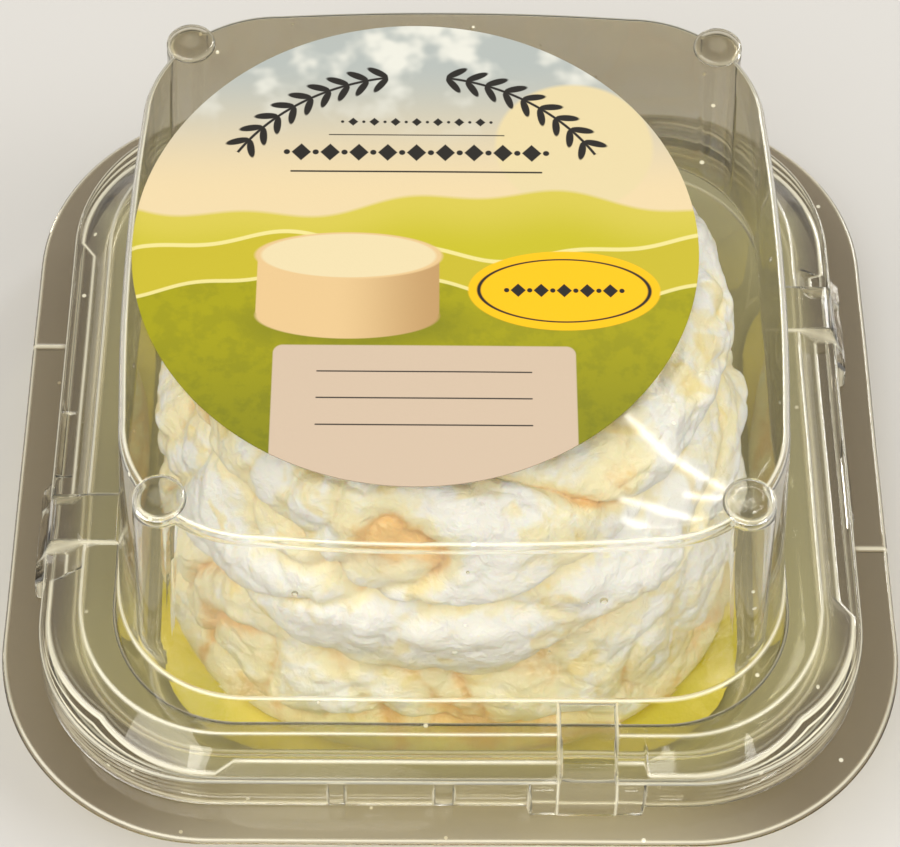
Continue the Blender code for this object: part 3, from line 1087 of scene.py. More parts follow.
@dataclass
class Tray(Sheet):
    """Clear tray: basin, raised rim under the lid's ring, and wide flange."""

    name: str = "tray_sheet"
    node: str = "tray"
    wall: float = 0.4 * MM
    rim_half: float = 44.45 * MM
    rim_rise: float = 4.0 * MM
    basin_half: float = 37.3 * MM
    floor_half: float = 34.6 * MM
    floor_corner: float = 13.6 * MM
    flange_top: float = 12.5 * MM
    flange_corner: float = 24.1 * MM
    lip: float = 0.5 * MM
    arc_angles: list[float] = field(default_factory=lambda: [90.0 * step / 30 for step in range(30)])

    def levels(self) -> list[Level]:
        """Floor, basin wall, rim, flange and its turned lip."""
        flange_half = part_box(self.node)[1][0]
        top, floor = self.flange_top, self.wall
        return [
            Level(6.0 * MM, 3.0 * MM, floor),
            Level(self.floor_half, self.floor_corner, floor),
            Level(self.floor_half + 0.7 * MM, 13.8 * MM, floor + 1.4 * MM),
            Level(self.basin_half, 14.4 * MM, top + 3.2 * MM),
            Level(self.basin_half + 3.6 * MM, 16.8 * MM, top + 3.4 * MM),
            Level(self.basin_half + 4.2 * MM, 17.2 * MM, top + self.rim_rise),
            Level(self.rim_half, 19.6 * MM, top + self.rim_rise),
            Level(self.rim_half + 0.6 * MM, 20.2 * MM, top),
            Level(flange_half - 0.25 * MM, self.flange_corner, top),
            Level(flange_half, self.flange_corner, top - self.lip),
        ]

    def features(self) -> list[Feature]:
        """A fine crease across the flange on the left and on the right."""
        return [Feature(Mark.CREASE, side, -13.8 * MM, -13.3 * MM, 0.3 * MM)
                for side in (Side.LEFT, Side.RIGHT)]

    def shaped(self, level: Level, side: Side, along: float) -> tuple[float, float, float]:
        """Flange with its creases."""
        out, height, bend = level.half, level.height, level.bend
        if level.half < self.rim_half + 1.0 * MM:
            return out, height, bend
        for feature in self.made_features:
            if feature.side == side:
                share = feature.share(along)
                height -= 0.15 * MM * share
                bend = max(bend, share)
        return out, height, bend


@dataclass
class Lid(Sheet):
    """Clear lid: flat top, dome with corner pillars, shelf, closure ring and snap lugs."""

    name: str = "lid_sheet"
    node: str = "lid"
    wall: float = 0.35 * MM
    base: float = 12.5 * MM
    dome_top_half: float = 34.0 * MM
    dome_foot_half: float = 36.5 * MM
    dome_top: float = 36.8 * MM
    dome_corner: float = 14.5 * MM
    dome_bow: float = 0.7 * MM
    shelf_half: float = 40.7 * MM
    shelf_top: float = 7.4 * MM
    ring_half: float = 45.3 * MM
    ring_top: float = 5.0 * MM
    pillar_radius: float = 2.7 * MM
    pillar_head: float = 29.2 * MM
    pillar_foot: float = 31.1 * MM
    pillar_melt: float = 0.35 * MM
    flute: float = 0.12 * MM
    flute_spacing: float = 6.0 * MM
    lug_reach: float = 47.0 * MM
    lug_top_reach: float = 44.6 * MM
    lug_rise: float = 0.4 * MM
    lug_place: float = 14.5 * MM
    lug_width: float = 6.3 * MM
    step_width: float = 12.5 * MM
    step_out: float = 1.0 * MM
    land_out: float = 1.5 * MM
    land_start: float = 20.6 * MM
    land_end: float = 24.6 * MM
    foot_run: float = field(init=False, default=0.0)
    arc_angles: list[float] = field(default_factory=lambda: (
        [30.0 * step / 8 for step in range(8)] + [30.0 + 30.0 * step / 30 for step in range(30)]
        + [60.0 + 30.0 * step / 8 for step in range(8)]))

    def levels(self) -> list[Level]:
        """Flat top, dome, shelf, closure ring and its foot just over the flange."""
        base, half, bow = self.base, self.dome_top_half, self.dome_bow
        top, shelf, ring = base + self.dome_top, base + self.shelf_top, base + self.ring_top
        corner = self.dome_corner
        foot_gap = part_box(self.node)[0][2] - base
        return [
            Level(4.0 * MM, 2.0 * MM, top),
            Level(half - 3.4 * MM, corner - 3.4 * MM, top, bow, 1.0),
            Level(half - 0.5 * MM, corner - 0.5 * MM, top, bow, 1.0),
            Level(half, corner, top - 0.8 * MM, bow, 1.0),
            Level(self.dome_foot_half, corner, shelf, bow * 0.2, 0.0),
            Level(self.shelf_half, 16.5 * MM, shelf),
            Level(self.ring_half - 2.5 * MM, 17.7 * MM, ring),
            Level(self.ring_half, 19.8 * MM, ring),
            Level(self.ring_half + 0.45 * MM, 20.4 * MM, base + foot_gap),
        ]

    def features(self) -> list[Feature]:
        """Snap lugs in their steps on every side, and the shallow panels beside them."""
        found = []
        for side in Side:
            for mark, width in ((Mark.LUG, self.lug_width), (Mark.STEP, self.step_width)):
                start = self.lug_place - width / 2.0
                found.append(Feature(mark, side, start, start + width))
        found.append(Feature(Mark.PANEL, Side.FRONT, -13.2 * MM, -11.2 * MM, 0.3 * MM))
        found.append(Feature(Mark.PANEL, Side.FRONT, -1.9 * MM, 0.4 * MM, 0.3 * MM))
        found.append(Feature(Mark.PANEL, Side.RIGHT, -11.9 * MM, -1.7 * MM, 0.3 * MM))
        found.append(Feature(Mark.GROOVE, Side.LEFT, -1.0 * MM, 7.4 * MM, 0.3 * MM))
        return found

    def rib_highlights(self, level: Level, angle: float) -> float:
        """Painted highlight stripes of fine ribs on the closure ring, fading out where the corner's arc ends."""
        path = self.path(level)
        on_ring = smooth_step(0.45, 0.55, path) * (1.0 - smooth_step(0.93, 0.99, path))
        return on_ring * math.sin(2.0 * angle)

    def wander(self, point: Vector, level: Level) -> Vector:
        """Ripple of every sheet, and upright flutes on the dome's walls."""
        shelf, top = self.base + self.shelf_top, self.base + self.dome_top
        on_wall = smooth_step(shelf + 1.0 * MM, shelf + 6.0 * MM, level.height)
        on_wall *= 1.0 - smooth_step(top - 3.0 * MM, top - 0.8 * MM, level.height)
        place = Vector((point.x, point.y, point.z * 0.15)) / self.flute_spacing
        return super().wander(point, level) + noise.noise_vector(place) * self.flute * on_wall

    def path(self, level: Level) -> float:
        """Share of the way from the dome's foot to the ring's foot."""
        return (level.run - self.foot_run) / (self.last_run - self.foot_run)

    def corner_reach(self, level: Level, angle: float) -> float:
        """Corner's arc, joined with the round of the pillar in it."""
        if level.pillar <= 0.0:
            return level.corner + self.land(level, self.path(level)) * abs(math.cos(2.0 * angle))
        rise = (level.height - self.base - self.shelf_top) / (self.dome_top - self.shelf_top)
        place = self.pillar_foot + (self.pillar_head - self.pillar_foot) * rise
        radius = self.pillar_radius - max(0.0, self.dome_top_half - level.half)
        away = math.sqrt(2.0) * (place - (level.half - level.corner))
        off = angle - math.radians(45.0)
        beside = away * math.sin(off)
        if radius <= 0.0 or abs(beside) >= radius:
            return level.corner
        reach = away * math.cos(off) + math.sqrt(radius * radius - beside * beside)
        melt = self.pillar_melt
        near = max(0.0, 1.0 - abs(reach - level.corner) / melt)
        joined = max(reach, level.corner) + near * near * melt / 4.0
        return level.corner + (joined - level.corner) * smooth_step(0.0, 0.2, level.pillar)

    def land(self, level: Level, path: float) -> float:
        """How far the ring's inner edge moves out between a lug's step and the next side."""
        if level.half < self.dome_foot_half + 0.3 * MM:
            return 0.0
        return self.land_out * min(smooth_step(0.29, 0.51, path), 1.0 - smooth_step(0.53, 0.66, path))

    def lug_section(self, share: float) -> tuple[float, float]:
        """Distance out and height of a lug's face at a share of the way down it."""
        top = self.base + self.shelf_top + self.lug_rise
        foot = self.base + 0.6 * MM
        corners = [
            (self.dome_foot_half + 0.4 * MM, top), (self.lug_top_reach - 0.4 * MM, top),
            (self.lug_top_reach + 0.1 * MM, top - 0.4 * MM), (self.lug_reach, foot),
        ]
        lengths = [math.dist(first, second) for first, second in zip(corners, corners[1:])]
        left = share * sum(lengths)
        for first, second, length in zip(corners, corners[1:], lengths):
            if left <= length or second == corners[-1]:
                part = left / length
                return (first[0] + (second[0] - first[0]) * part, first[1] + (second[1] - first[1]) * part)
            left -= length
        return corners[-1]

    def shaped(self, level: Level, side: Side, along: float) -> tuple[float, float, float]:
        """Side of the lid with its lugs, steps and shallow panels."""
        out, height, bend = level.half, level.height, level.bend
        shelf_start = self.dome_foot_half + 0.3 * MM
        if level.half < shelf_start or level.height > self.base + self.shelf_top + 0.1 * MM:
            return out, height, bend
        path = self.path(level)
        on_land = max(smooth_step(self.land_start, self.land_start + 0.5 * MM, along),
                      smooth_step(-self.land_end, -self.land_end - 0.5 * MM, along))
        out += self.land(level, path) * on_land
        wall = smooth_step(0.70, 0.76, path)
        for feature in self.made_features:
            if feature.side != side:
                continue
            share = feature.share(along)
            edge = 4.0 * share * (1.0 - share)
            if feature.mark is Mark.STEP:
                out += self.step_out * share * wall
                bend = max(bend, edge * wall)
            elif feature.mark is Mark.PANEL:
                depth = wall * (1.0 - smooth_step(0.9, 0.95, path))
                out += 0.35 * MM * share * depth
                bend = max(bend, edge * depth)
            elif feature.mark is Mark.GROOVE:
                depth = smooth_step(0.53, 0.56, path) * (1.0 - smooth_step(0.62, 0.65, path))
                height -= 0.5 * MM * share * depth
                bend = max(bend, edge * depth, share * 4.0 * depth * (1.0 - depth))
        for feature in self.made_features:
            if feature.mark is Mark.LUG and feature.side == side:
                share = feature.share(along)
                lug_out, lug_height = self.lug_section(path)
                out += (lug_out - out) * share
                height += (lug_height - height) * share
                bend = max(bend * (1.0 - share), 4.0 * share * (1.0 - share))
        return out, height, bend

    def build(self, finish: ClearFinish) -> bpy.types.Object:
        """Find where the dome's foot lies along the sheet, and mould the sheet."""
        levels = self.levels()
        foot = next(place for place, level in enumerate(levels) if level.half == self.dome_foot_half)
        stretches = zip(levels[:foot], levels[1:foot + 1])
        self.foot_run = sum(first.reach_to(second) for first, second in stretches)
        return super().build(finish)


@dataclass
class Bosses:
    """Round bosses that close the tops of the lid's corner pillars.

    Attributes:
        lid: The lid that carries them.
        rise: Height of a boss over the lid's top.
        wall: Thickness of its sheet.
    """

    lid: Lid
    rise: float = 0.6 * MM
    wall: float = 0.25 * MM

    def build(self, finish: ClearFinish) -> list[bpy.types.Object]:
        """Press one boss up from a disc, and copy it to the other corners.

        Args:
            finish: Clear finish of the bosses.

        Returns:
            The four bosses.
        """
        lid_top = self.lid.base + self.lid.dome_top
        radius = self.lid.pillar_radius
        place = (self.lid.pillar_head, self.lid.pillar_head, lid_top + 0.02 * MM)
        deselect_all()
        bpy.ops.mesh.primitive_circle_add(vertices=48, radius=radius, fill_type="NGON", location=place)
        first = bpy.context.object
        bpy.ops.object.transform_apply(location=True, rotation=True, scale=True)
        rises = ((0.30, 0.985), (0.16, 0.95), (0.08, 0.92), (0.03, 0.9), (0.03, 0.6), (-0.06, 0.6))
        with editing(first) as mesh:
            centre = Vector(place)
            for rise, narrower in rises:
                bpy.ops.mesh.extrude_region_move(TRANSFORM_OT_translate={"value": (0.0, 0.0, rise * MM)})
                bpy.ops.transform.resize(value=(narrower, narrower, 1.0), center_override=centre)
            bpy.ops.mesh.poke()
            floor = [face for face in mesh.faces if len(face.verts) > 4]
            for face in mesh.faces:
                face.select = face in floor
            if floor:
                bpy.ops.mesh.delete(type="FACE")
        self.mark_bends(first, lid_top)
        face_up(first)
        add_wall(first, self.wall)
        shade(first)
        first.data.materials.append(finish.material())
        bosses = []
        for turn in range(4):
            boss = first if turn == 0 else bpy.data.objects.new(f"lid_boss_{turn + 1}", first.data.copy())
            if turn:
                bpy.context.scene.collection.objects.link(boss)
                boss.data.transform(Matrix.Rotation(math.radians(90.0) * turn, 4, "Z"))
            bosses.append(boss)
        first.name = "lid_boss_1"
        return bosses

    def mark_bends(self, item: bpy.types.Object, lid_top: float) -> None:
        """Note the bend of a boss at its shoulder."""
        # The shoulder's bend mark turns white in the finish: a painted highlight.
        marks = item.data.attributes.new("bend", "FLOAT", "POINT")
        shoulder = lid_top + self.rise * 0.6
        for vert, mark in zip(item.data.vertices, marks.data):
            mark.value = max(0.0, 1.0 - abs(vert.co.z - shoulder) / (0.25 * MM)) * 0.8


@dataclass
class Label:
    """Round printed label on the lid's top; its edge follows the lid's rounded rim.

    Attributes:
        lid: The lid that it is stuck on.
        node: CAD node that it replaces.
        thickness: Thickness of the paper.
    """

    lid: Lid
    node: str = "label"
    thickness: float = 0.12 * MM

    def build(self) -> bpy.types.Object:
        """Cut the disc, lay it on the lid and print it.

        Returns:
            The finished piece.
        """
        low, high = (Vector(corner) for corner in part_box(self.node))
        centre = (low + high) / 2.0
        radius = (high.x - low.x) / 2.0
        deselect_all()
        bpy.ops.mesh.primitive_circle_add(
            vertices=160, radius=radius, fill_type="NGON", location=(centre.x, centre.y, low.z),
        )
        label = bpy.context.object
        label.name = "label_disc"
        bpy.ops.object.transform_apply(location=True, rotation=True, scale=True)
        with editing(label):
            for width in (0.2, 0.3, 0.5, 0.8, 1.2, 2.0, 3.0, 4.0, 5.0, 5.0, 4.0):
                bpy.ops.mesh.inset(thickness=width * MM)
            bpy.ops.mesh.poke()
        for vert in label.data.vertices:
            vert.co.z += self.lie(vert.co)
        face_up(label)
        add_wall(label, self.thickness)
        shade(label)
        label.data.materials.append(PrintFinish(Vector((centre.x, centre.y, 0.0))).material())
        return label

    def lie(self, point: Vector) -> float:
        """How far the paper lies from its flat plane at a point."""
        over = max(abs(point.x), abs(point.y)) - (self.lid.dome_top_half - 1.0 * MM)
        droop = -0.35 * MM * smooth_step(0.0, 1.6 * MM, over)
        return droop + 0.05 * MM * noise.noise(point / (9.0 * MM)) + 0.02 * MM


@dataclass
class Mat:
    """Damp mat on the tray's floor, under the cheese.

    Attributes:
        node: CAD node that it replaces.
        corner: Radius of its corners.
        thickness: Thickness of the mat.
        cockle: How far it cockles.
    """

    node: str = "mat"
    corner: float = 15.0 * MM
    thickness: float = 0.25 * MM
    cockle: float = 0.12 * MM
    rings: int = 26
    narrower: float = 0.94

    def build(self) -> bpy.types.Object:
        """Cut a square with round corners, let it cockle and dampen it.

        Returns:
            The finished piece.
        """
        low, high = (Vector(corner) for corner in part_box(self.node))
        deselect_all()
        bpy.ops.mesh.primitive_plane_add(size=high.x - low.x, location=(0.0, 0.0, high.z - self.cockle))
        mat = bpy.context.object
        mat.name = "mat_sheet"
        bpy.ops.object.transform_apply(location=True, rotation=True, scale=True)
        with editing(mat):
            bpy.ops.mesh.bevel(offset=self.corner, segments=14, affect="VERTICES")
            for _ in range(self.rings):
                bpy.ops.mesh.extrude_region()
                bpy.ops.transform.resize(value=(self.narrower, self.narrower, 1.0), center_override=(0.0, 0.0, 0.0))
        for vert in mat.data.vertices:
            vert.co.z += self.cockle * noise.noise(vert.co / (6.0 * MM))
        face_up(mat)
        add_wall(mat, self.thickness)
        shade(mat)
        mat.data.materials.append(MatFinish().material())
        return mat


@dataclass(frozen=True)
class Spot:
    """Warm or pale patch on the front of the cheese: partly the rind's own colour, partly painted shade in the creases
    and painted light on the rolls.

    Attributes:
        across: Its place from left to right.
        level: Its height over the foot of the cheese.
        radius: Its radius.
        warmth_and_shade: How much warmer it is than the rind round it, or paler below 0.
    """

    across: float
    level: float
    radius: float
    warmth_and_shade: float


@dataclass
class Cheese:
    """Squat cone of goat cheese whose rind slumps in rolls and folds.

    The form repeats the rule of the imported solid, with finer folds on it.

    Attributes:
        node: CAD node that it replaces.
        cuts: Cuts along each edge of the cube that the form grows from, in two passes.
        height: Height of the cheese.
        base_radius: Radius at its foot.
        waist_radius: Radius at its waist.
        waist_level: Height of the waist.
        top_radius: Radius where the shoulder starts to round.
        shoulder: Height of the rounded shoulder.
        foot_round: Radius of the rounded foot.
        foot_square: How far the foot fills the basin's corners.
        top_square: How far the top does.
    """

    node: str = "cheese"
    cuts: tuple[int, int] = (60, 1)
    height: float = 44.0 * MM
    base_radius: float = 35.1 * MM
    waist_radius: float = 33.4 * MM
    waist_level: float = 26.0 * MM
    top_radius: float = 28.6 * MM
    shoulder: float = 4.5 * MM
    foot_round: float = 3.0 * MM
    foot_square: float = 0.07
    top_square: float = 0.025
    fold_spacing: float = 12.0 * MM
    fold_depth: float = 2.0 * MM
    crease_sharpness: float = 7.0
    lump_spacing: float = 26.0 * MM
    lump_height: float = 1.2 * MM
    lump_mean: float = 0.25
    lump_seed: Vector = field(default_factory=lambda: Vector((3.1, 7.4, 1.9)))
    roll_start: float = 4.0 * MM
    roll_height: float = 15.5 * MM
    roll_depth: float = 2.6 * MM
    roll_sag: float = 0.66
    roll_sway: float = 9.0 * MM
    roll_sway_spacing: float = 34.0 * MM
    scallop: float = 4.5 * MM
    scallop_spacing: float = 11.0 * MM
    roll_seed: Vector = field(default_factory=lambda: Vector((0.6, 4.2, 8.3)))
    calm_spacing: float = 19.0 * MM
    calm_seed: Vector = field(default_factory=lambda: Vector((5.2, 0.7, 3.3)))
    curd_spacing: float = 6.6 * MM
    curd_height: float = 0.95 * MM
    wrinkle_spacing: float = 3.4 * MM
    wrinkle_depth: float = 0.4 * MM
    pore_spacing: float = 1.3 * MM
    pore_depth: float = 0.16 * MM
    droop: float = 1.1 * MM

    def spots(self) -> list[Spot]:
        """Patches of the front: peach in the creases and at the lower left, pale on the rolls; partly the rind's own
        colour, partly painted shade and painted light.
        """
        places = (
            (-7.0, 38.0, 3.6, 0.65), (-1.5, 36.5, 3.0, 0.45), (9.0, 40.0, 3.0, 0.35), (17.0, 42.0, 3.0, 0.5),
            (12.8, 34.5, 3.5, 0.5), (-5.4, 17.5, 2.8, 0.5), (5.7, 18.5, 3.0, 0.5), (-25.7, 15.0, 4.0, 0.4),
            (19.0, 24.5, 3.0, 0.55), (28.6, 30.0, 3.5, 0.4), (12.0, 15.0, 7.0, 0.28), (-26.5, 30.5, 5.0, -0.4),
            (-27.0, 44.0, 4.0, 0.4), (22.0, 33.0, 7.0, -0.4), (4.0, 27.0, 6.5, -0.35), (-10.0, 25.0, 5.5, -0.3),
            (2.0, 44.0, 6.0, -0.2),
        )
        return [Spot(across * MM, level * MM, radius * MM, warmth_and_shade) for across, level, radius, warmth_and_shade in places]

    def spot_warmth_and_shade(self, spots: Sequence[Spot], point: Vector) -> float:
        """Warmth that the front's patches add at a point, painted shade and light included."""
        if point.y > 0.0:
            return 0.0
        found = 0.0
        for spot in spots:
            away = ((point.x - spot.across) ** 2 + (point.z - spot.level) ** 2) / spot.radius ** 2
            if away < 6.0:
                found += spot.warmth_and_shade * math.exp(-away)
        return found

    def radius(self, height: float) -> float:
        """Radius of the bare cheese at a height over its own foot."""
        if height < self.waist_level:
            share = smooth_step(0.0, self.waist_level, height)
            radius = self.base_radius + (self.waist_radius - self.base_radius) * share
        else:
            share = (height - self.waist_level) / (self.height - self.waist_level)
            radius = self.waist_radius + (self.top_radius - self.waist_radius) * share
        if height < self.foot_round:
            lift = 1.0 - height / self.foot_round
            radius -= self.foot_round * 0.5 * (1.0 - math.sqrt(max(0.0, 1.0 - lift * lift)))
        over = height - (self.height - self.shoulder)
        if over > 0.0:
            lift = over / self.shoulder
            radius -= self.shoulder * (1.0 - math.sqrt(max(0.0, 1.0 - lift * lift)))
        return radius

    def outline(self) -> list[tuple[float, float]]:
        """Section of the bare cheese as radius and height, from under its middle to its top's middle."""
        rows = 180
        under = [(self.radius(0.0) * step / 40, 0.0) for step in range(40)]
        flank = [(self.radius(self.height * row / rows), self.height * row / rows) for row in range(rows + 1)]
        rim = flank[-1][0]
        over = [(rim * (1.0 - step / 40), self.height) for step in range(1, 41)]
        return under + flank + over

    def squareness(self, point: Vector) -> float:
        """How much wider than round the cheese is at a point."""
        bearing = math.atan2(point.y, point.x)
        most = self.foot_square + (self.top_square - self.foot_square) * point.z / self.height
        return 1.0 + most * (1.0 - math.cos(4.0 * bearing)) / 2.0

    def folds(self, point: Vector) -> tuple[float, float, float]:
        """Relief of the rind at a point of the bare form.

        Args:
            point: The point.

        Returns:
            How far the rind lies out, how deep the point is in a crease, and in the gap under a roll.
        """
        warp = noise.noise_vector(point / self.lump_spacing)
        lump = noise.noise(point / self.lump_spacing + self.lump_seed)
        fold = abs(noise.noise(point / self.fold_spacing + 0.9 * warp))
        calm = smooth_step(-0.15, 0.25, noise.noise(point / self.calm_spacing + self.calm_seed))
        crease = math.exp(-fold * self.crease_sharpness) * (1.0 - 0.5 * calm)
        sway = self.roll_sway * noise.noise(point / self.roll_sway_spacing + self.roll_seed)
        sway += self.scallop * noise.noise(point / self.scallop_spacing + self.calm_seed)
        phase = (point.z - self.roll_start + sway) / self.roll_height
        share = phase - math.floor(phase)
        gap = (1.0 - math.sin(math.pi * share ** self.roll_sag)) ** 2
        out = self.lump_height * (lump - self.lump_mean) - self.fold_depth * crease - self.roll_depth * gap
        return out, crease, gap

    def wrinkles(self, point: Vector) -> float:
        """Fine relief over the folds: soft curds, wrinkles and grain."""
        warp = noise.noise_vector(point / (9.0 * MM)) * 0.8
        curd = noise.noise(point / self.curd_spacing + warp)
        ridge = abs(noise.noise(point / self.wrinkle_spacing + 1.3 * warp))
        grain = noise.noise(point / self.pore_spacing)
        fine = self.wrinkle_depth * (0.45 - math.exp(-ridge * 4.0)) + self.pore_depth * grain
        return self.curd_height * (curd - 0.25) + fine

    def build(self) -> bpy.types.Object:
        """Grow the rind from a rounded cube and dress it.

        Returns:
            The finished piece.
        """
        deselect_all()
        bpy.ops.mesh.primitive_cube_add(size=2.0)
        cheese = bpy.context.object
        cheese.name = "cheese_rind"
        with editing(cheese):
            for cuts in self.cuts:
                bpy.ops.mesh.subdivide(number_cuts=cuts)
            bpy.ops.transform.tosphere(value=1.0)
        self.shape(cheese)
        shade(cheese, 180.0)
        cheese.data.materials.append(RindFinish().material())
        return cheese

    def shape(self, cheese: bpy.types.Object) -> None:
        """Move the rounded cube's points onto the folded form, and note where the rind is warm or painted in shade."""
        outline = self.outline()
        runs = [0.0]
        for first, second in zip(outline, outline[1:]):
            runs.append(runs[-1] + math.dist(first, second))
        foot_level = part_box(self.node)[0][2]
        warmth_and_shade = cheese.data.attributes.new("warmth_and_shade", "FLOAT", "POINT")
        spots = self.spots()
        for vert, mark in zip(cheese.data.vertices, warmth_and_shade.data):
            ray = vert.co.normalized()
            bearing = math.atan2(ray.y, ray.x)
            share = math.acos(max(-1.0, min(1.0, -ray.z))) / math.pi
            spot = self.along(outline, runs, share)
            before = self.along(outline, runs, share - 0.008)
            after = self.along(outline, runs, share + 0.008)
            slope = Vector((after[1] - before[1], before[0] - after[0])).normalized()
            bare = Vector((spot[0] * math.cos(bearing), spot[0] * math.sin(bearing), spot[1]))
            outward = Vector((slope.x * math.cos(bearing), slope.x * math.sin(bearing), slope.y))
            out, crease, gap = self.folds(bare)
            settled = smooth_step(0.0, 3.0 * self.foot_round, bare.z)
            wider = self.squareness(bare)
            lower = self.droop * settled * (1.0 - gap) * smooth_step(0.0, 1.0, slope.x) * 0.5
            move = outward * (out * settled + self.wrinkles(bare) * smooth_step(0.0, 4.0 * MM, bare.z))
            vert.co = Vector((bare.x * wider, bare.y * wider, bare.z - lower + foot_level)) + move
            # Painted light and shade: warm bounce light low on the flank, a warmer shaded left side, and peach shade in
            # the creases and under the rolls, which is partly the rind's own colour.
            low_flank_bounce_light = 1.0 - smooth_step(6.0 * MM, 20.0 * MM, bare.z)
            left_side_shade = smooth_step(0.0, 24.0 * MM, -bare.x) * 0.07
            mark.value = 0.72 * crease + 0.42 * gap + 0.12 * low_flank_bounce_light + left_side_shade + self.spot_warmth_and_shade(spots, bare)

    def along(self, outline: list[tuple[float, float]], runs: list[float], share: float) -> tuple[float, float]:
        """Point of the section at a share of the way from the south pole.

        Args:
            outline: The section.
            runs: Length of the section up to each of its points.
            share: Polar angle from the south pole, as a share of half a turn.

        Returns:
            Radius and height.
        """
        share = min(max(share, 0.0), 1.0)
        low, high = 0.16, 0.76
        under = self.radius(0.0) / runs[-1]
        over = outline[-41][0] / runs[-1]
        if share < low:
            wanted = under * share / low
        elif share > high:
            wanted = 1.0 - over * (1.0 - share) / (1.0 - high)
        else:
            wanted = under + (1.0 - under - over) * (share - low) / (high - low)
        target = wanted * runs[-1]
        place = min(max(bisect_right(runs, target) - 1, 0), len(runs) - 2)
        part = (target - runs[place]) / (runs[place + 1] - runs[place])
        first, second = outline[place], outline[place + 1]
        return (first[0] + (second[0] - first[0]) * part, first[1] + (second[1] - first[1]) * part)


@dataclass
class Drops:
    """Small drops of water on the inner face of the dome.

    Attributes:
        lid: The lid that they hang on.
        count: Number of the fine drops.
        seed: Seed of their places.
    """

    lid: Lid
    count: int = 12
    seed: int = 5

    def wall_at(self, height: float, along: float) -> float:
        """Distance of the dome's inner face from the middle at a height and a place along it."""
        lid = self.lid
        share = (height - lid.base - lid.shelf_top) / (lid.dome_top - lid.shelf_top)
        half = lid.dome_foot_half + (lid.dome_top_half - lid.dome_foot_half) * share
        across = along / (half - lid.dome_corner)
        bow = lid.dome_bow * (0.2 + 0.8 * share) * max(0.0, 1.0 - across * across)
        return half + bow - lid.wall

    def places(self) -> list[tuple[Side, float, float, float]]:
        """Side, place along it, height and radius of every drop: the two large ones first."""
        draw = random.Random(self.seed)
        found = [(Side.FRONT, -16.0 * MM, 40.0 * MM, 0.42 * MM), (Side.FRONT, 15.2 * MM, 39.0 * MM, 0.5 * MM)]
        for number in range(self.count):
            height = self.lid.base + draw.uniform(14.0, 33.0) * MM
            found.append((Side(number % 4), draw.uniform(-17.0, 17.0) * MM, height, draw.uniform(0.14, 0.26) * MM))
        return found

    def build(self, finish: ClearFinish) -> bpy.types.Object:
        """Set flattened drops on the walls and join them.

        Args:
            finish: Finish of the water.

        Returns:
            The finished piece.
        """
        drops = []
        for side, along, height, radius in self.places():
            out = self.wall_at(height, along) - radius * 0.3
            deselect_all()
            bpy.ops.mesh.primitive_uv_sphere_add(
                segments=16, ring_count=10, radius=radius, location=(out, along, height),
                scale=(0.4, 0.85, 1.35),
            )
            drop = bpy.context.object
            bpy.ops.object.transform_apply(location=True, rotation=True, scale=True)
            drop.data.transform(Matrix.Rotation(math.radians(90.0) * side.value, 4, "Z"))
            drops.append(drop)
        for drop in drops:
            drop.select_set(True)
        bpy.context.view_layer.objects.active = drops[0]
        bpy.ops.object.join()
        joined = bpy.context.object
        joined.name = "water_drops"
        joined.data.transform(joined.matrix_world)
        joined.matrix_world = Matrix.Identity(4)
        shade(joined, 180.0)
        joined.data.materials.append(finish.material())
        return joined


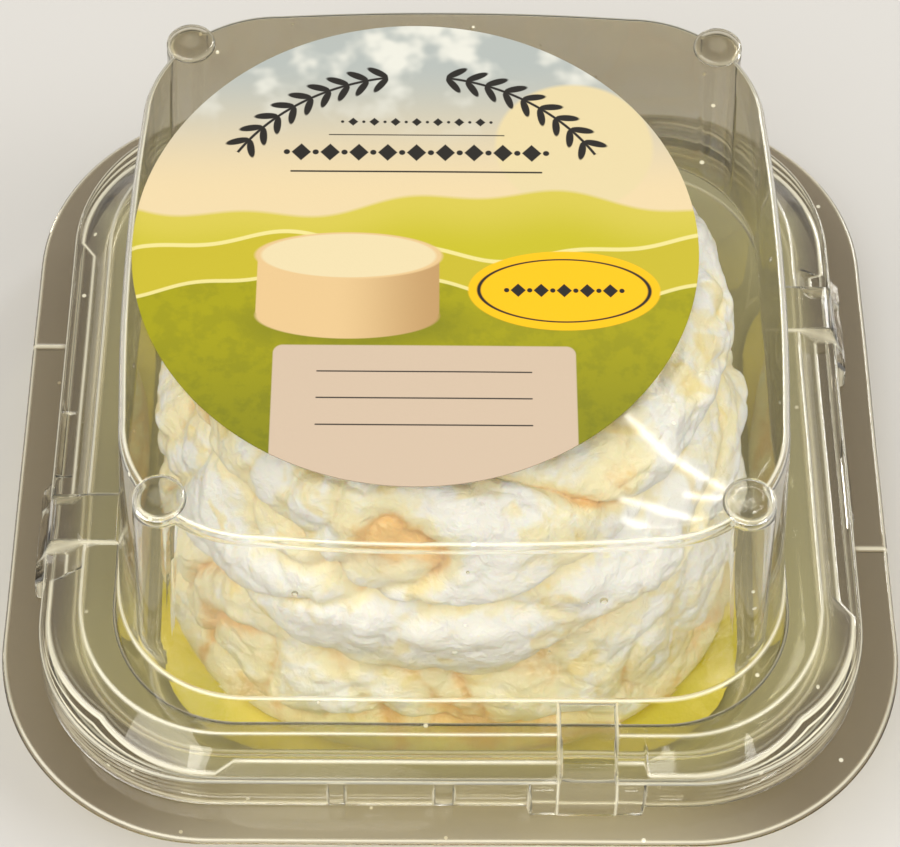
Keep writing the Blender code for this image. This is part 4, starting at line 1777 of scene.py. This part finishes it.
@dataclass
class Studio:
    """Plain pale floor, soft light and the photograph's point of view.

    Attributes:
        elevation: Camera's angle above the horizon, in radians.
        azimuth: Camera's angle round the pack, in radians.
        roll: Camera's own roll, in radians.
        distance: Distance from the camera to the point that it looks at.
        target: The point at the middle of the image.
        focal: Focal length in image widths.
    """

    elevation: float = 1.0099
    azimuth: float = -0.0161
    roll: float = 0.0196
    distance: float = 303.495 * MM
    target: Vector = field(default_factory=lambda: Vector((-0.105 * MM, 2.93 * MM, 12.5 * MM)))
    focal: float = 2.868

    def floor(self) -> bpy.types.Object:
        """Wide flat floor under the pack."""
        deselect_all()
        bpy.ops.mesh.primitive_grid_add(x_subdivisions=24, y_subdivisions=24, size=2.4, location=(0.0, 0.0, -0.05 * MM))
        floor = bpy.context.object
        floor.name = "studio_floor"
        bpy.ops.object.transform_apply(location=True, rotation=True, scale=True)
        floor.data.materials.append(FloorFinish().material())
        return floor

    def camera(self) -> bpy.types.Object:
        """Camera at the photograph's angle."""
        lift, turn = self.elevation, self.azimuth
        back = Vector((math.sin(turn) * math.cos(lift), -math.cos(turn) * math.cos(lift), math.sin(lift)))
        right = Vector((math.cos(turn), math.sin(turn), 0.0))
        up = back.cross(right)
        across = right * math.cos(self.roll) + up * math.sin(self.roll)
        upward = up * math.cos(self.roll) - right * math.sin(self.roll)
        spot = self.target + back * self.distance
        data = bpy.data.cameras.new("camera")
        data.lens = data.sensor_width * self.focal
        data.clip_start = 0.01
        camera = bpy.data.objects.new("camera", data)
        bpy.context.scene.collection.objects.link(camera)
        camera.matrix_world = Matrix((
            (across.x, upward.x, back.x, spot.x), (across.y, upward.y, back.y, spot.y),
            (across.z, upward.z, back.z, spot.z), (0.0, 0.0, 0.0, 1.0),
        ))
        bpy.context.scene.camera = camera
        return camera

    def lamp(self, name: str, spot: tuple[float, float, float], size: tuple[float, float],
             power: float, colour: Colour = (1.0, 1.0, 1.0), turn: float = 0.0, mirrored: bool = True) -> None:
        """Add a soft lamp that looks at the pack.

        Args:
            name: Name of the lamp.
            spot: Where it hangs.
            size: Its width and height.
            power: Its power in watts.
            colour: Its colour.
            turn: How far it is turned about its own axis, in degrees.
            mirrored: Whether it shows in what reflects it.
        """
        data = bpy.data.lights.new(name, "AREA")
        data.shape = "RECTANGLE"
        data.size, data.size_y = size
        data.energy = power
        data.color = colour
        item = bpy.data.objects.new(name, data)
        item.location = spot
        item.visible_glossy = mirrored
        aim = (Vector((0.0, 0.0, 0.03)) - Vector(spot)).to_track_quat("-Z", "Y")
        item.rotation_euler = (aim @ Quaternion((0.0, 0.0, 1.0), math.radians(turn))).to_euler()
        bpy.context.scene.collection.objects.link(item)

    def light(self) -> None:
        """Soft daylight, a key lamp, a front fill, and narrow lamps for the gloss."""
        world = bpy.data.worlds.new("studio")
        bpy.context.scene.world = world
        world.use_nodes = True
        sky = world.node_tree.nodes["Background"]
        sky.inputs["Color"].default_value = (0.95, 0.97, 1.0, 1.0)
        sky.inputs["Strength"].default_value = 0.48
        self.lamp("key", (-0.45, -0.25, 0.75), (0.9, 0.9), 6.4, (1.0, 0.99, 0.97))
        self.lamp("fill", (-0.08, -0.5, 0.72), (0.4, 0.25), 2.4, mirrored=False)
        self.lamp("right", (0.55, -0.3, 0.7), (0.35, 0.35), 3.6, (0.97, 0.98, 1.0), mirrored=False)
        self.lamp("rim", (0.5, 0.55, 0.55), (0.12, 0.6), 2.6)
        streaks = [
            ((0.115, 0.415, 0.82), 0.075, 6.0), ((0.118, 0.452, 0.82), 0.085, -14.0),
            ((0.100, 0.402, 0.82), 0.045, -4.0), ((0.140, 0.436, 0.82), 0.050, 24.0),
        ]
        for number, (spot, length, turn) in enumerate(streaks, start=1):
            self.lamp(f"streak {number}", spot, (length, 0.0022), 0.12 * length, turn=turn)

    def look(self) -> None:
        """Plain colour, and light paths long enough for stacked clear sheets."""
        scene = bpy.context.scene
        scene.view_settings.view_transform = "Standard"
        scene.cycles.max_bounces = 14
        scene.cycles.transmission_bounces = 14
        scene.cycles.transparent_max_bounces = 24
        scene.cycles.glossy_bounces = 5
        scene.cycles.diffuse_bounces = 3
        scene.cycles.use_denoising = True


def main() -> None:
    """Build the studio, then the pack from the inside out."""
    logging.basicConfig(level=logging.INFO, format="%(message)s")
    noise.seed_set(NOISE_SEED)
    studio = Studio()
    studio.floor()
    studio.camera()
    studio.light()
    studio.look()
    lid = Lid()
    tray = Tray()
    # The milk of each clear finish paints highlights along the sheets' bends, partly stress-whitening.
    clear = ClearFinish(
        # rear_shade_tint paints shade on the rear of the dome.
        "clear lid", tint=(0.82, 0.805, 0.75), rear_shade_tint=(0.7, 0.66, 0.56), bend_whitening_and_highlight=0.42, rib_highlights=0.45, dust=0.6,
    )
    # The tray's yellow basin tint paints the mat's light carried in the plastic; its flange is smoky, with painted
    # reflection at the front and back and painted shade at the sides.
    smoked = ClearFinish(
        "clear tray", tint=(0.85, 0.83, 0.54), outer_tint_with_sheen=(0.66, 0.61, 0.48), side_tint_with_shade=(0.37, 0.315, 0.225),
        bend_whitening_and_highlight=0.42, dust=0.5,
    )
    # The water's cloud paints its drops white as a highlight.
    water = ClearFinish("water", ior=1.33, roughness=0.0, cloud=0.15)
    hand_over(Mat().build(), "mat")
    hand_over(Cheese().build(), "cheese")
    hand_over(tray.build(smoked), "tray")
    hand_over(lid.build(clear), "lid")
    # Painted highlight on each boss's shoulder, from milk.
    for boss in Bosses(lid).build(replace(clear, name="clear boss", bend_whitening_and_highlight=0.24)):
        hand_over(boss)
    hand_over(Drops(lid).build(water))
    hand_over(Label(lid).build(), "label")


if __name__ == "__main__":
    main()
